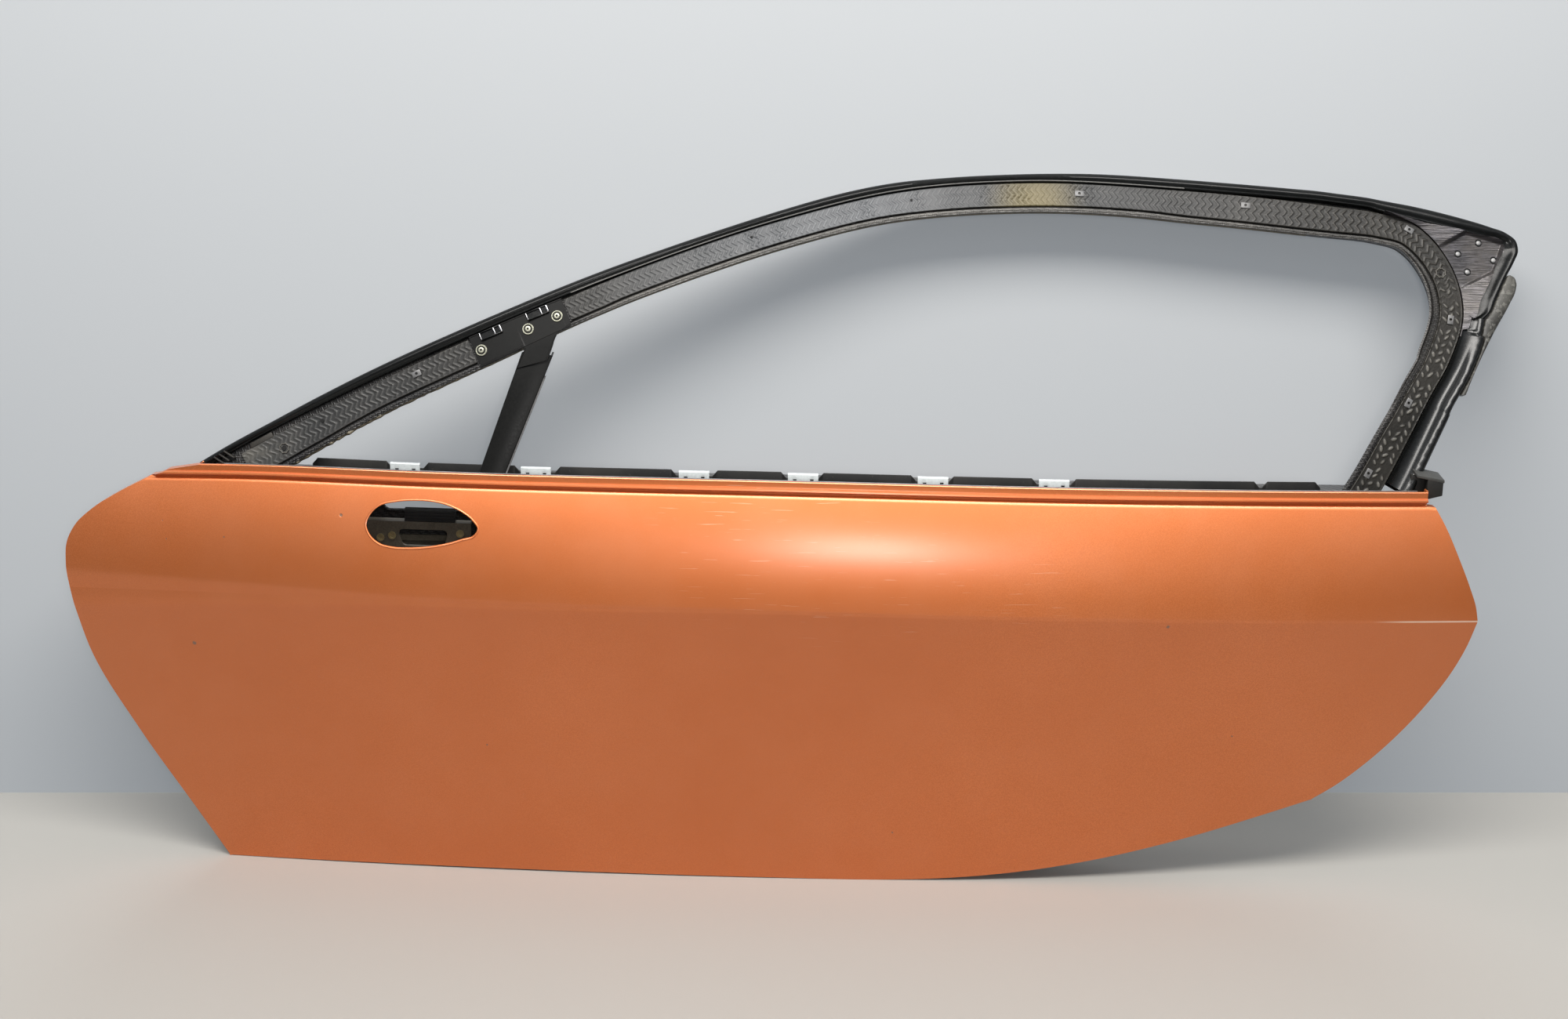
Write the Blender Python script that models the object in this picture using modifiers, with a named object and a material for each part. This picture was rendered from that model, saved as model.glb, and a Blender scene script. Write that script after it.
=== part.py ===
"""Left-hand door shell of a low two-door coupe: aluminium skin, carbon fibre inner panel and window frame.

Metres, +Z up. X runs from the door's front edge to its rear edge and Y runs inboard, into the car.
Every piece is laid out in door coordinates: x from the skin's front tip, z from its bottom edge, and y from the
bottom edge at mid length. One empty then moves them all, so that the world origin is the centre of the
hinge plate's face.
"""

import math

import bmesh
import bpy
from mathutils import Matrix, Vector

# Overall sizes of the door
SKIN_LENGTH = 1.450
BELT_HEIGHT = 0.4445
FRAME_RISE = 0.278
PANEL_DEPTH = 0.088

# Plan curve of the body side, as a radius, and the length share where it stands furthest out
PLAN_RADIUS = 6.2
PLAN_APEX_SHARE = 0.688
PLAN_DATUM_SHARE = 0.515
PANEL_FOLLOW_SHARE = 0.6

# Section of the body side between the bottom edge, the crease and the belt
CREASE_PROUD = 0.035
BELT_TUCK = 0.002
LOWER_HOLLOW = 2.2
UPPER_ROUND_SHARE = 0.6

# Lean of the side window, inboard as it rises
FRAME_SET = 0.030
FRAME_LEAN = 0.36
FRAME_CURVE = 0.60

# Sheet and fit
SKIN_THICKNESS = 0.0012
PANEL_THICKNESS = 0.0028
HEM_DEPTH = 0.008
HEM_TURN = 0.0012
GAP = 0.0003
FLANGE_GAP = 0.0012
OVERRUN = 0.020

# Outlines as (share of SKIN_LENGTH, share of BELT_HEIGHT)
FRONT_LOWER_SHARES = ((0.1013, 0.0), (0.0791, 0.119), (0.0414, 0.331), (0.0146, 0.525), (0.0046, 0.708))
FRONT_UPPER_SHARES = (
    (0.0046, 0.708), (0.0035, 0.770), (0.0046, 0.815), (0.0108, 0.854), (0.0229, 0.890), (0.0405, 0.925),
    (0.0619, 0.960),
)
BOTTOM_SHARES = (
    (0.1013, 0.0), (0.300, 0.003), (0.500, 0.001), (0.590, 0.0), (0.626, 0.004), (0.687, 0.023),
    (0.744, 0.056), (0.800, 0.103), (0.865, 0.172), (0.8966, 0.208),
)
REAR_LOWER_SHARES = (
    (0.8966, 0.208), (0.9123, 0.242), (0.9329, 0.300), (0.9532, 0.372), (0.9727, 0.460), (0.9862, 0.540),
    (0.9945, 0.614), (0.9989, 0.6815),
)
REAR_UPPER_SHARES = (
    (0.9989, 0.6815), (0.9970, 0.716), (0.9925, 0.758), (0.9851, 0.818), (0.9740, 0.899), (0.9686, 0.930),
)
CREASE_SHARES = (
    (0.0046, 0.708), (0.120, 0.716), (0.350, 0.7135), (0.515, 0.7125), (0.651, 0.704), (0.787, 0.695),
    (0.9989, 0.6815),
)
BELT_SHARES = (
    (0.0619, 0.960), (0.128, 0.967), (0.274, 0.965), (0.515, 0.9615), (0.732, 0.947), (0.9686, 0.930),
)

# Belt edge of the skin: each row is its (inboard, up) offset from the belt line, and where it starts and ends
BEAD_RISE = 0.0055
STRIP_RISE = 0.0155
STRIP_THICKNESS = 0.0034
STRIP_LEAN = 0.0015
BEAD_PROUD = 0.0016
GROOVE_DEPTH = 0.0020
STRIP_HEM = 0.0100
BEAD_START_SHARE = 0.078
STRIP_START_SHARE = 0.103
STRIP_END_SHARE = 0.9627

# Mirror opening in the skin, as shares of its own length and height from its centre
MIRROR_LENGTH = 0.1146
MIRROR_HEIGHT = 0.0446
MIRROR_CENTRE_SHARES = (0.2623, 0.8875)
MIRROR_OUTLINE_SHARES = (
    (-0.50, -0.04), (-0.46, 0.20), (-0.387, 0.361), (-0.237, 0.462), (-0.058, 0.50), (0.083, 0.491),
    (0.225, 0.424), (0.358, 0.289), (0.452, 0.123), (0.50, -0.056), (0.462, -0.204), (0.369, -0.278),
    (0.257, -0.366), (0.088, -0.455), (-0.10, -0.50), (-0.27, -0.495), (-0.383, -0.426), (-0.459, -0.278),
)

# Window frame. The path is the ribbed band's outer edge, as (share of SKIN_LENGTH,
# share of FRAME_RISE above the belt)
FRAME_PATH_SHARES = (
    (0.0724, -0.142), (0.1273, 0.032), (0.1926, 0.206), (0.2912, 0.431), (0.4043, 0.656), (0.5152, 0.8405),
    (0.5931, 0.9323), (0.6824, 0.9654), (0.7941, 0.9395), (0.9062, 0.8798), (0.9399, 0.8542),
    (0.9630, 0.8190), (0.9836, 0.7210), (0.9935, 0.6180), (0.9958, 0.5166), (0.9852, 0.3607),
    (0.9557, 0.1127), (0.9314, -0.0727), (0.8897, -0.358),
)
FRAME_STATIONS = 288
COARSE_STEPS = 48
FINE_STEPS = 144
CORNER_SPAN_SHARES = (0.740, 0.866)
FOOT_DROP = 0.0040

# Strips of the window frame: (share of the path, reach in band widths)
BAND_WIDTH = 0.0250
BAND_REACH_SHARES = (
    (0.0, 1.45), (0.06, 1.42), (0.097, 1.33), (0.125, 1.19), (0.153, 1.02), (0.22, 0.97), (0.25, 0.88),
    (0.28, 0.81), (0.35, 0.86), (0.43, 0.81), (0.50, 0.81), (0.54, 0.85), (0.66, 0.84), (0.70, 0.87),
    (0.74, 0.94), (0.778, 1.07), (0.806, 1.15), (0.833, 1.17), (0.861, 1.11), (0.93, 1.14), (1.0, 1.12),
)
SHELL_REACH_SHARES = (
    (0.0, 0.30), (0.05, 0.29), (0.11, 0.33), (0.17, 0.38), (0.28, 0.38), (0.37, 0.33), (0.44, 0.28),
    (0.50, 0.29), (0.61, 0.40), (0.68, 0.37), (0.74, 0.29), (0.76, 0.30), (0.80, 0.34), (1.0, 0.34),
)
RAIL_REACH_SHARES = (
    (0.0, 0.37), (0.05, 0.34), (0.07, 0.325), (0.11, 0.376), (0.17, 0.44), (0.28, 0.44), (0.37, 0.38),
    (0.44, 0.325), (0.50, 0.33), (0.53, 0.365), (0.61, 0.46), (0.66, 0.47), (0.70, 0.52), (0.7275, 0.57),
    (0.753, 0.56),
)
PILLAR_REACH_SHARES = (
    (0.837, 0.86), (0.8435, 0.823), (0.8585, 0.77), (0.8715, 0.82), (0.8925, 0.89), (0.9155, 0.98),
    (0.945, 1.10),
)

# Rear corner: the roof rail's outer and inner edges from where it leaves the band, round its tip and back,
# each point as (share of SKIN_LENGTH, share of FRAME_RISE above the belt)
CORNER_OUTER_SHARES = (
    (0.9378, 0.8990), (0.9659, 0.8723), (0.9967, 0.8348), (1.0191, 0.8016), (1.0310, 0.7790),
    (1.0374, 0.7520), (1.0384, 0.7200), (1.0350, 0.6850), (1.0287, 0.6368), (1.0215, 0.5737),
    (1.0151, 0.5170),
)
CORNER_INNER_SHARES = (
    (0.9402, 0.8575), (0.9655, 0.8260), (0.9904, 0.7964), (1.0129, 0.7684), (1.0228, 0.7560),
    (1.0268, 0.7440), (1.0268, 0.7250), (1.0225, 0.6850), (1.0167, 0.6320), (1.0085, 0.5600),
    (1.0020, 0.4990),
)
CORNER_STEPS = 3
SEAL_EDGE_SHARES = (
    (1.0322, 0.6410), (1.0350, 0.6330), (1.0362, 0.6180), (1.0352, 0.5880), (1.0303, 0.5454),
    (1.0172, 0.4462), (1.0062, 0.3518), (1.0000, 0.2900), (0.9955, 0.2400),
)
SEAL_START = 24
BAND_THICKNESS = 0.0030
BAND_CHAMFER = 0.0008
LIP_WIDTH = 0.0046
GROOVE_WIDTH = 0.0014
GROOVE_SINK = 0.0030
SHELL_WALL = 0.0022
SHELL_DEPTH = 0.0210
CLOSURE_DEPTH = 0.0310
CLOSURE_FLANGE = 0.0050
RAIL_HEIGHT = 0.0080
GUSSET_PROUD = 0.0008
SEAL_HEIGHT = 0.0070
PILLAR_HEIGHT = 0.0100
FRONT_BAND_SPAN_SHARES = (0.048, 0.204)
REAR_BAND_SPAN_SHARES = (0.2645, 0.955)
ROOF_RAIL_SPAN_SHARES = (0.024, 0.750)
GUSSET_SPAN_SHARES = (0.779, 0.832)
PILLAR_SPAN_SHARES = (0.8375, 0.938)
SEAL_END_SHARE = 0.885
GUSSET_RIVETS_SHARES = ((1.0097, 0.7492), (0.9943, 0.7142), (1.0197, 0.6911), (1.0003, 0.6539))
RIVET_RADIUS = 0.0032
RIVET_HEIGHT = 0.0012

# Divider between the quarter window and the main window
BRACKET_SPAN_SHARES = (0.2050, 0.2635)
BRACKET_FOOT_SHARES = (0.2290, 0.2480)
BRACKET_FOOT_REACH = 1.72
BRACKET_PROUD = 0.0014
BRACKET_SCREWS_SHARES = (0.2090, 0.2390, 0.2575)
BRACKET_SCREW_ACROSS = 0.62
SCREW_RADIUS = 0.0052
SCREW_HEIGHT = 0.0024
TRIM_CLIPS_SHARES = (0.2180, 0.2475)
TRIM_CLIP_LENGTH = 0.0200
TRIM_CLIP_WIDTH = 0.0070
TRIM_CLIP_HEIGHT = 0.0024
POST_TOP_SHARES = (0.3408, 0.378)
POST_BOTTOM_SHARES = (0.3063, 0.005)
POST_WIDTH_TOP = 0.0330
POST_WIDTH_BOTTOM = 0.0266
POST_DEPTH = 0.0140
POST_WALL = 0.0020
POST_INSET = 0.0016
POST_STEPS = 8

# Belt: closing beam, castellated inner flange with its clips, and the stiffener behind the painted strip
BELT_BEAM_SPAN_SHARES = (0.093, 0.938)
BELT_BEAM_SET = 0.0290
BELT_BEAM_HEIGHT = 0.0140
BELT_WALL = 0.0022
BELT_STEPS = 14
INNER_BELT_SET = 0.0470
INNER_BELT_THICKNESS = 0.0022
INNER_BELT_FOOT = 0.0160
INNER_BELT_NOTCH = 0.0085
INNER_BELT_CHAMFER = 0.0040
INNER_BELT_RISE = -0.0015
INNER_BELT_SHARES = (
    (0.1820, 0.2320), (0.2624, 0.3241), (0.3569, 0.4355), (0.4685, 0.5130), (0.5431, 0.6045),
    (0.6346, 0.6894), (0.7207, 0.8465), (0.8560, 0.8900),
)
BELT_CLIP_SHARES = (0.2455, 0.3394, 0.4517, 0.5286, 0.6199, 0.7051)
BELT_CLIP_LENGTH = 0.0310
BELT_CLIP_HEIGHT = 0.0090
BELT_CLIP_WALL = 0.0010
STIFFENER_SPAN_SHARES = (0.120, 0.9560)
STIFFENER_THICKNESS = 0.0016
STIFFENER_DROP = 0.0040
END_BLOCK_SPAN_SHARES = (0.9665, 0.9830)
END_BLOCK_HEIGHT = 0.0215
END_BLOCK_DEPTH = 0.0260
END_BLOCK_SLOPE = 0.0120


def hermite(points, index, share):
    """Point on a smooth curve through the points, between points[index] and points[index + 1]."""
    def slope(k):
        if k == 0:
            return (points[1] - points[0]) / (points[1] - points[0]).length
        if k == len(points) - 1:
            return (points[-1] - points[-2]) / (points[-1] - points[-2]).length
        before, after = points[k] - points[k - 1], points[k + 1] - points[k]
        first, second = before.length, after.length
        return (before / first * second + after / second * first) / (first + second)

    start, end = points[index], points[index + 1]
    span = (end - start).length
    square, cube = share * share, share ** 3
    return (
        start * (2 * cube - 3 * square + 1) + slope(index) * span * (cube - 2 * square + share)
        + end * (3 * square - 2 * cube) + slope(index + 1) * span * (cube - square)
    )


def smooth_line(points, count, steps=12):
    """count + 1 points at even distances along the smooth curve through the points."""
    points = [Vector(p) for p in points]
    dense = [hermite(points, k, s / steps) for k in range(len(points) - 1) for s in range(steps)] + [points[-1]]
    return even_line(dense, count)


def even_line(dense, count):
    """count + 1 points at even distances along a polyline."""
    runs = [0.0]
    for first, second in zip(dense, dense[1:]):
        runs.append(runs[-1] + (second - first).length)
    made, k = [], 0
    for step in range(count + 1):
        wanted = runs[-1] * step / count
        while k < len(dense) - 2 and runs[k + 1] < wanted:
            k += 1
        share = (wanted - runs[k]) / max(runs[k + 1] - runs[k], 1e-12)
        made.append(dense[k].lerp(dense[k + 1], min(share, 1.0)))
    return made


def closed_line(points, count):
    """count points at even distances round the smooth closed curve through the points."""
    around = [Vector(p) for p in points]
    wrapped = around[-2:] + around + around[:3]
    dense = [hermite(wrapped, k, s / 8) for k in range(2, len(around) + 2) for s in range(8)]
    return even_line(dense + [dense[0]], count)[:-1]


def level_at(table, x):
    """Second value of a table of pairs, read smoothly at x."""
    if x <= table[0][0]:
        return table[0][1]
    for k in range(len(table) - 1):
        low, high = table[k], table[k + 1]
        if x <= high[0]:
            share = (x - low[0]) / (high[0] - low[0])
            return low[1] + (high[1] - low[1]) * share
    return table[-1][1]


def outline(shares):
    """Door points (x, z) of an outline given in shares of the skin's length and the belt's height."""
    return [Vector((x * SKIN_LENGTH, z * BELT_HEIGHT)) for x, z in shares]


def frame_points(shares):
    """Door points (x, z) of a line on the window frame."""
    return [Vector((x * SKIN_LENGTH, BELT_HEIGHT + h * FRAME_RISE)) for x, h in shares]


SMOOTH_STEPS = 60


def smooth_table(table, scale=1.0):
    """A table of pairs turned into a fine smooth one, its second values times the scale."""
    return [(p.x, p.y * scale) for p in smooth_line(table, SMOOTH_STEPS * 2)]


BAND_REACH = smooth_table(BAND_REACH_SHARES, BAND_WIDTH)
SHELL_REACH = smooth_table(SHELL_REACH_SHARES, BAND_WIDTH)
RAIL_REACH = smooth_table(RAIL_REACH_SHARES, BAND_WIDTH)
PILLAR_REACH = smooth_table(PILLAR_REACH_SHARES, BAND_WIDTH)
CREASE_LINE = [(p.x, p.y) for p in smooth_line(outline(CREASE_SHARES), SMOOTH_STEPS)]
BELT_LINE = [(p.x, p.y) for p in smooth_line(outline(BELT_SHARES), SMOOTH_STEPS)]


def plan(x):
    """How far the body side turns inboard at x, against mid length."""
    apex, datum = PLAN_APEX_SHARE * SKIN_LENGTH, PLAN_DATUM_SHARE * SKIN_LENGTH
    return ((x - apex) ** 2 - (datum - apex) ** 2) / (2 * PLAN_RADIUS)


def skin_y(x, z):
    """Depth of the skin's outside face: hollow below the crease, rounded above it."""
    crease, belt = level_at(CREASE_LINE, x), level_at(BELT_LINE, x)
    if z < crease:
        share = min((crease - z) / crease, 1.0)
        return plan(x) - CREASE_PROUD * (1 - share) ** LOWER_HOLLOW
    share = min((z - crease) / (belt - crease), 1.0)
    bow = (1 - UPPER_ROUND_SHARE) * share + UPPER_ROUND_SHARE * share * share
    return plan(x) - CREASE_PROUD + (CREASE_PROUD + BELT_TUCK) * bow


def panel_y(x):
    """Depth of the inner panel's outboard face."""
    return PANEL_DEPTH + PANEL_FOLLOW_SHARE * plan(x)


def frame_y(x, z):
    """Depth of the window frame's outside face."""
    rise = z - level_at(BELT_LINE, x) - STRIP_RISE
    return plan(x) + FRAME_SET + FRAME_LEAN * rise + FRAME_CURVE * rise * rise


class Station:
    """A place on the window frame: a point, the way along, the way across to the window, and the way out."""

    def __init__(self, point, along, out):
        self.point = point
        self.out = (out - along * out.dot(along)).normalized()
        self.along = along
        self.across = along.cross(self.out)

    def at(self, across, out, along=0.0):
        return self.point + self.across * across + self.out * out + self.along * along

    def matrix(self, across=0.0, out=0.0, along=0.0):
        """Local X runs along, local Y runs away from the window, local Z points out."""
        rows = Matrix((self.along, -self.across, self.out)).transposed().to_4x4()
        rows.translation = self.at(across, out, along)
        return rows


def frame_normal(x, z):
    step = SKIN_LENGTH / 1000
    slope_x = (frame_y(x + step, z) - frame_y(x - step, z)) / (2 * step)
    slope_z = (frame_y(x, z + step) - frame_y(x, z - step)) / (2 * step)
    return Vector((slope_x, -1.0, slope_z)).normalized()


def stations(points, count):
    """Stations at even distances along a smooth line on the window frame."""
    flat = smooth_line(points, count)
    line = [Vector((p.x, frame_y(p.x, p.y), p.y)) for p in flat]
    made = []
    for k, point in enumerate(line):
        along = (line[min(k + 1, count)] - line[max(k - 1, 0)]).normalized()
        made.append(Station(point, along, frame_normal(point.x, point.z)))
    return made


def blend(places, share):
    """A station part of the way along a list of them."""
    place = min(max(share, 0.0), 1.0) * (len(places) - 1)
    k = min(int(place), len(places) - 2)
    low, high, part = places[k], places[k + 1], place - k
    along = low.along.lerp(high.along, part).normalized()
    return Station(low.point.lerp(high.point, part), along, low.out.lerp(high.out, part).normalized())


def span(low, high):
    """Shares of the frame's path between two of its shares, closer together round the rear corner."""
    first, last = CORNER_SPAN_SHARES
    coarse = [k / COARSE_STEPS for k in range(COARSE_STEPS + 1) if not first < k / COARSE_STEPS < last]
    fine = [k / FINE_STEPS for k in range(FINE_STEPS + 1) if first <= k / FINE_STEPS <= last]
    clear = 1 / FINE_STEPS / 4
    return [low] + sorted(share for share in set(coarse + fine) if low + clear < share < high - clear) + [high]


def material(name, colour, roughness, metallic):
    made = bpy.data.materials.new(name)
    made.use_nodes = True
    shader = made.node_tree.nodes["Principled BSDF"]
    shader.inputs["Base Color"].default_value = (*colour, 1.0)
    shader.inputs["Roughness"].default_value = roughness
    shader.inputs["Metallic"].default_value = metallic
    made.diffuse_color = (*colour, 1.0)
    return made


def clear_scene():
    for obj in list(bpy.data.objects):
        bpy.data.objects.remove(obj)


clear_scene()
PARTS = bpy.data.collections.new("car_door_shell")
CUTTERS = bpy.data.collections.new("cutters")
bpy.context.scene.collection.children.link(PARTS)
bpy.context.scene.collection.children.link(CUTTERS)
CUTTERS.hide_render = True
DOOR = bpy.data.objects.new("door", None)
PARTS.objects.link(DOOR)

COPPER_PAINT = material("copper_paint", (0.62, 0.20, 0.06), 0.30, 0.60)
CARBON = material("carbon_fibre", (0.030, 0.030, 0.034), 0.38, 0.0)
BLACK_GLOSS = material("black_gloss", (0.010, 0.010, 0.011), 0.16, 0.0)
RIBBED = material("ribbed_band", (0.095, 0.090, 0.085), 0.34, 0.25)
BLACK_MOULDING = material("black_moulding", (0.018, 0.018, 0.020), 0.45, 0.0)
BARE_METAL = material("bare_metal", (0.62, 0.63, 0.64), 0.32, 1.0)
CAST_METAL = material("cast_metal", (0.24, 0.22, 0.19), 0.50, 0.7)
RUBBER = material("black_rubber", (0.06, 0.06, 0.06), 0.80, 0.0)


def add(name, data, finish, smooth=None):
    """A named object of the door, in door coordinates."""
    obj = bpy.data.objects.new(name, data)
    data.materials.append(finish)
    PARTS.objects.link(obj)
    obj.parent = DOOR
    if smooth is not None:
        data.shade_smooth()
        data.set_sharp_from_angle(angle=math.radians(smooth))
    return obj


def cut(obj, cutter):
    """Cuts the cutter out of the object with a live Boolean."""
    cutter.parent = DOOR
    cutter.hide_render = True
    cutter.display_type = "WIRE"
    modifier = obj.modifiers.new("cut_" + cutter.name, "BOOLEAN")
    modifier.operation = "DIFFERENCE"
    modifier.object = cutter


def mesh_from(bm, name):
    mesh = bpy.data.meshes.new(name)
    bm.to_mesh(mesh)
    bm.free()
    return mesh


def solidify(obj, thickness):
    shell = obj.modifiers.new("thickness", "SOLIDIFY")
    shell.thickness = thickness
    shell.offset = -1.0
    shell.use_even_offset = True


def quilt(name, patches, thickness, finish):
    """A pressed sheet of one or more patches, each a grid primitive whose points are moved to its rows."""
    bm = bmesh.new()
    for rows in patches:
        columns, lines = len(rows[0]) - 1, len(rows) - 1
        made = bmesh.ops.create_grid(bm, x_segments=columns, y_segments=lines, size=1.0)
        for vert in made["verts"]:
            i, j = round((vert.co.x + 1) / 2 * columns), round((vert.co.y + 1) / 2 * lines)
            vert.co = rows[j][i]
    bmesh.ops.remove_doubles(bm, verts=bm.verts, dist=GAP / 3)
    obj = add(name, mesh_from(bm, name), finish, 30)
    solidify(obj, thickness)
    return obj


def loft(name, rings, finish, smooth=35):
    """A closed solid through rings of points that are all of the same count."""
    bm = bmesh.new()
    rings = [[bm.verts.new(point) for point in ring] for ring in rings]
    for first, second in zip(rings, rings[1:]):
        for k in range(len(first)):
            bm.faces.new((first[k - 1], first[k], second[k], second[k - 1]))
    bm.faces.new(rings[0])
    bm.faces.new(rings[-1])
    bmesh.ops.recalc_face_normals(bm, faces=bm.faces)
    return add(name, mesh_from(bm, name), finish, smooth)


def frame_bar(name, shares, profile, finish, smooth=35):
    """A bar on the window frame. The profile gives its (across, out) points at each share of the path."""
    rings = [[blend(FRAME_LINE, share).at(*point) for point in profile(share)] for share in shares]
    return loft(name, rings, finish, smooth)


def frame_place(point):
    """An (x, z) point moved onto the window frame's outside face."""
    return Vector((point.x, frame_y(point.x, point.y), point.y))


def ribbon(name, sides, profile, finish, smooth=35):
    """A bar between pairs of points on the frame. The profile gives its (across, out) points for a width."""
    rings = []
    for near, far in sides:
        across, width = (far - near).normalized(), (far - near).length
        out = frame_normal((near.x + far.x) / 2, (near.z + far.z) / 2)
        rings.append([near + across * a + out * b for a, b in profile(width)])
    return loft(name, rings, finish, smooth)


def turned(name, profile, matrix, finish, steps=16):
    """A turned piece. The profile's (radius, height) points run from the top of the axis down to its foot."""
    mesh = bpy.data.meshes.new(name)
    points = [(radius, 0.0, height) for radius, height in profile]
    mesh.from_pydata(points, [(k, k + 1) for k in range(len(points) - 1)], [])
    obj = add(name, mesh, finish)
    obj.matrix_local = matrix
    screw = obj.modifiers.new("turn", "SCREW")
    screw.steps = screw.render_steps = steps
    screw.use_merge_vertices = True
    screw.merge_threshold = 0.00001
    screw.use_smooth_shade = True
    return obj


def block(name, size, matrix, finish, bevel=0.0, segments=2):
    """A box of the given size about the matrix's origin, its edges rounded by the bevel."""
    bm = bmesh.new()
    bmesh.ops.create_cube(bm, size=1.0)
    bmesh.ops.scale(bm, vec=size, verts=bm.verts)
    obj = add(name, mesh_from(bm, name), finish)
    obj.matrix_local = matrix
    if bevel:
        edge = obj.modifiers.new("edges", "BEVEL")
        edge.width = bevel
        edge.segments = segments
    return obj


def rounded(points, radius, steps=4):
    """The corners of a closed outline turned into arcs of one radius."""
    made = []
    for k, corner in enumerate(points):
        corner = Vector(corner)
        back = (Vector(points[k - 1]) - corner).normalized()
        ahead = (Vector(points[(k + 1) % len(points)]) - corner).normalized()
        half = back.angle(ahead) / 2
        reach = radius / math.tan(half)
        centre = corner + (back + ahead).normalized() * (radius / math.sin(half))
        start, end = corner + back * reach - centre, corner + ahead * reach - centre
        for step in range(steps + 1):
            arm = start.slerp(end, step / steps)
            made.append(centre + arm * (radius / arm.length))
    return made


def plate(name, outlines, thickness, matrix, finish):
    """A flat plate: closed outlines filled as a 2D curve, the first one outside and the others holes."""
    curve = bpy.data.curves.new(name, "CURVE")
    curve.dimensions = "2D"
    curve.fill_mode = "BOTH"
    curve.extrude = thickness / 2
    for points in outlines:
        spline = curve.splines.new("POLY")
        spline.points.add(len(points) - 1)
        for point, place in zip(spline.points, points):
            point.co = (place[0], place[1], 0.0, 1.0)
        spline.use_cyclic_u = True
    obj = add(name, curve, finish)
    obj.matrix_local = matrix
    return obj


def circle(centre, radius, steps=16):
    turns = [2 * math.pi * k / steps for k in range(steps)]
    return [(centre[0] + radius * math.cos(a), centre[1] + radius * math.sin(a)) for a in turns]


def prism_cutter(name, points, low, high):
    """A cutter with an (x, z) outline, running through the door from depth low to depth high."""
    bm = bmesh.new()
    face = bm.faces.new([bm.verts.new((x, low, z)) for x, z in points])
    moved = bmesh.ops.extrude_face_region(bm, geom=[face])["geom"]
    verts = [v for v in moved if isinstance(v, bmesh.types.BMVert)]
    bmesh.ops.translate(bm, vec=(0, high - low, 0), verts=verts)
    bmesh.ops.recalc_face_normals(bm, faces=bm.faces)
    obj = bpy.data.objects.new(name, mesh_from(bm, name))
    CUTTERS.objects.link(obj)
    return obj


def facing(point, out, up=Vector((0, 0, 1))):
    """A matrix at a door point whose local Z looks along out and whose local Y is as near up as it can be."""
    out = out.normalized()
    side = up.cross(out).normalized()
    rows = Matrix((side, out.cross(side), out)).transposed().to_4x4()
    rows.translation = point
    return rows


def coons(bottom, top, left, right, u, v):
    """Point inside four boundary lines that meet at their ends, each given as evenly spaced points."""
    def on(line, share):
        place = share * (len(line) - 1)
        k = min(int(place), len(line) - 2)
        return line[k].lerp(line[k + 1], place - k)

    ruled = on(bottom, u) * (1 - v) + on(top, u) * v + on(left, v) * (1 - u) + on(right, v) * u
    corners = bottom[0] * (1 - u) * (1 - v) + bottom[-1] * u * (1 - v) + top[0] * (1 - u) * v + top[-1] * u * v
    return ruled - corners


EDGE_STEPS = 48
SKIN_COLUMNS = 30
LOWER_ROWS = 9
UPPER_ROWS = 5


def shared_edges():
    """The skin's outlines as evenly spaced points: front, bottom, rear, crease and belt."""
    return {
        "front_lower": smooth_line(outline(FRONT_LOWER_SHARES), EDGE_STEPS),
        "front_upper": smooth_line(outline(FRONT_UPPER_SHARES), EDGE_STEPS),
        "rear_lower": smooth_line(outline(REAR_LOWER_SHARES), EDGE_STEPS),
        "rear_upper": smooth_line(outline(REAR_UPPER_SHARES), EDGE_STEPS),
        "bottom": smooth_line(outline(BOTTOM_SHARES), EDGE_STEPS),
        "crease": smooth_line(outline(CREASE_SHARES), EDGE_STEPS),
        "belt": smooth_line(outline(BELT_SHARES), EDGE_STEPS),
    }


EDGES = shared_edges()


def skin_point(p, inboard=0.0):
    return Vector((p.x, skin_y(p.x, p.y) + inboard, p.y))


def belt_rows(columns):
    """Rows of the rolled belt edge above the belt line: groove, bead, flat strip and its hem."""
    offsets = (
        (GROOVE_DEPTH, BEAD_RISE * 0.25, BEAD_START_SHARE * 0.85),
        (-BEAD_PROUD, BEAD_RISE * 0.55, BEAD_START_SHARE),
        (-BEAD_PROUD, BEAD_RISE * 0.85, BEAD_START_SHARE),
        (STRIP_LEAN * 0.5, BEAD_RISE * 1.25, BEAD_START_SHARE),
        (STRIP_LEAN, STRIP_RISE, STRIP_START_SHARE),
        (STRIP_LEAN + STRIP_THICKNESS, STRIP_RISE, STRIP_START_SHARE),
        (STRIP_LEAN + STRIP_THICKNESS, STRIP_RISE - STRIP_HEM, BEAD_START_SHARE),
    )
    made = []
    for inboard, up, start_share in offsets:
        start, end = start_share * SKIN_LENGTH, STRIP_END_SHARE * SKIN_LENGTH
        row = []
        for k in range(columns + 1):
            x = start + (end - start) * k / columns
            row.append(Vector((x, plan(x) + BELT_TUCK + inboard, level_at(BELT_LINE, x) + up)))
        made.append(row)
    return made


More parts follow.
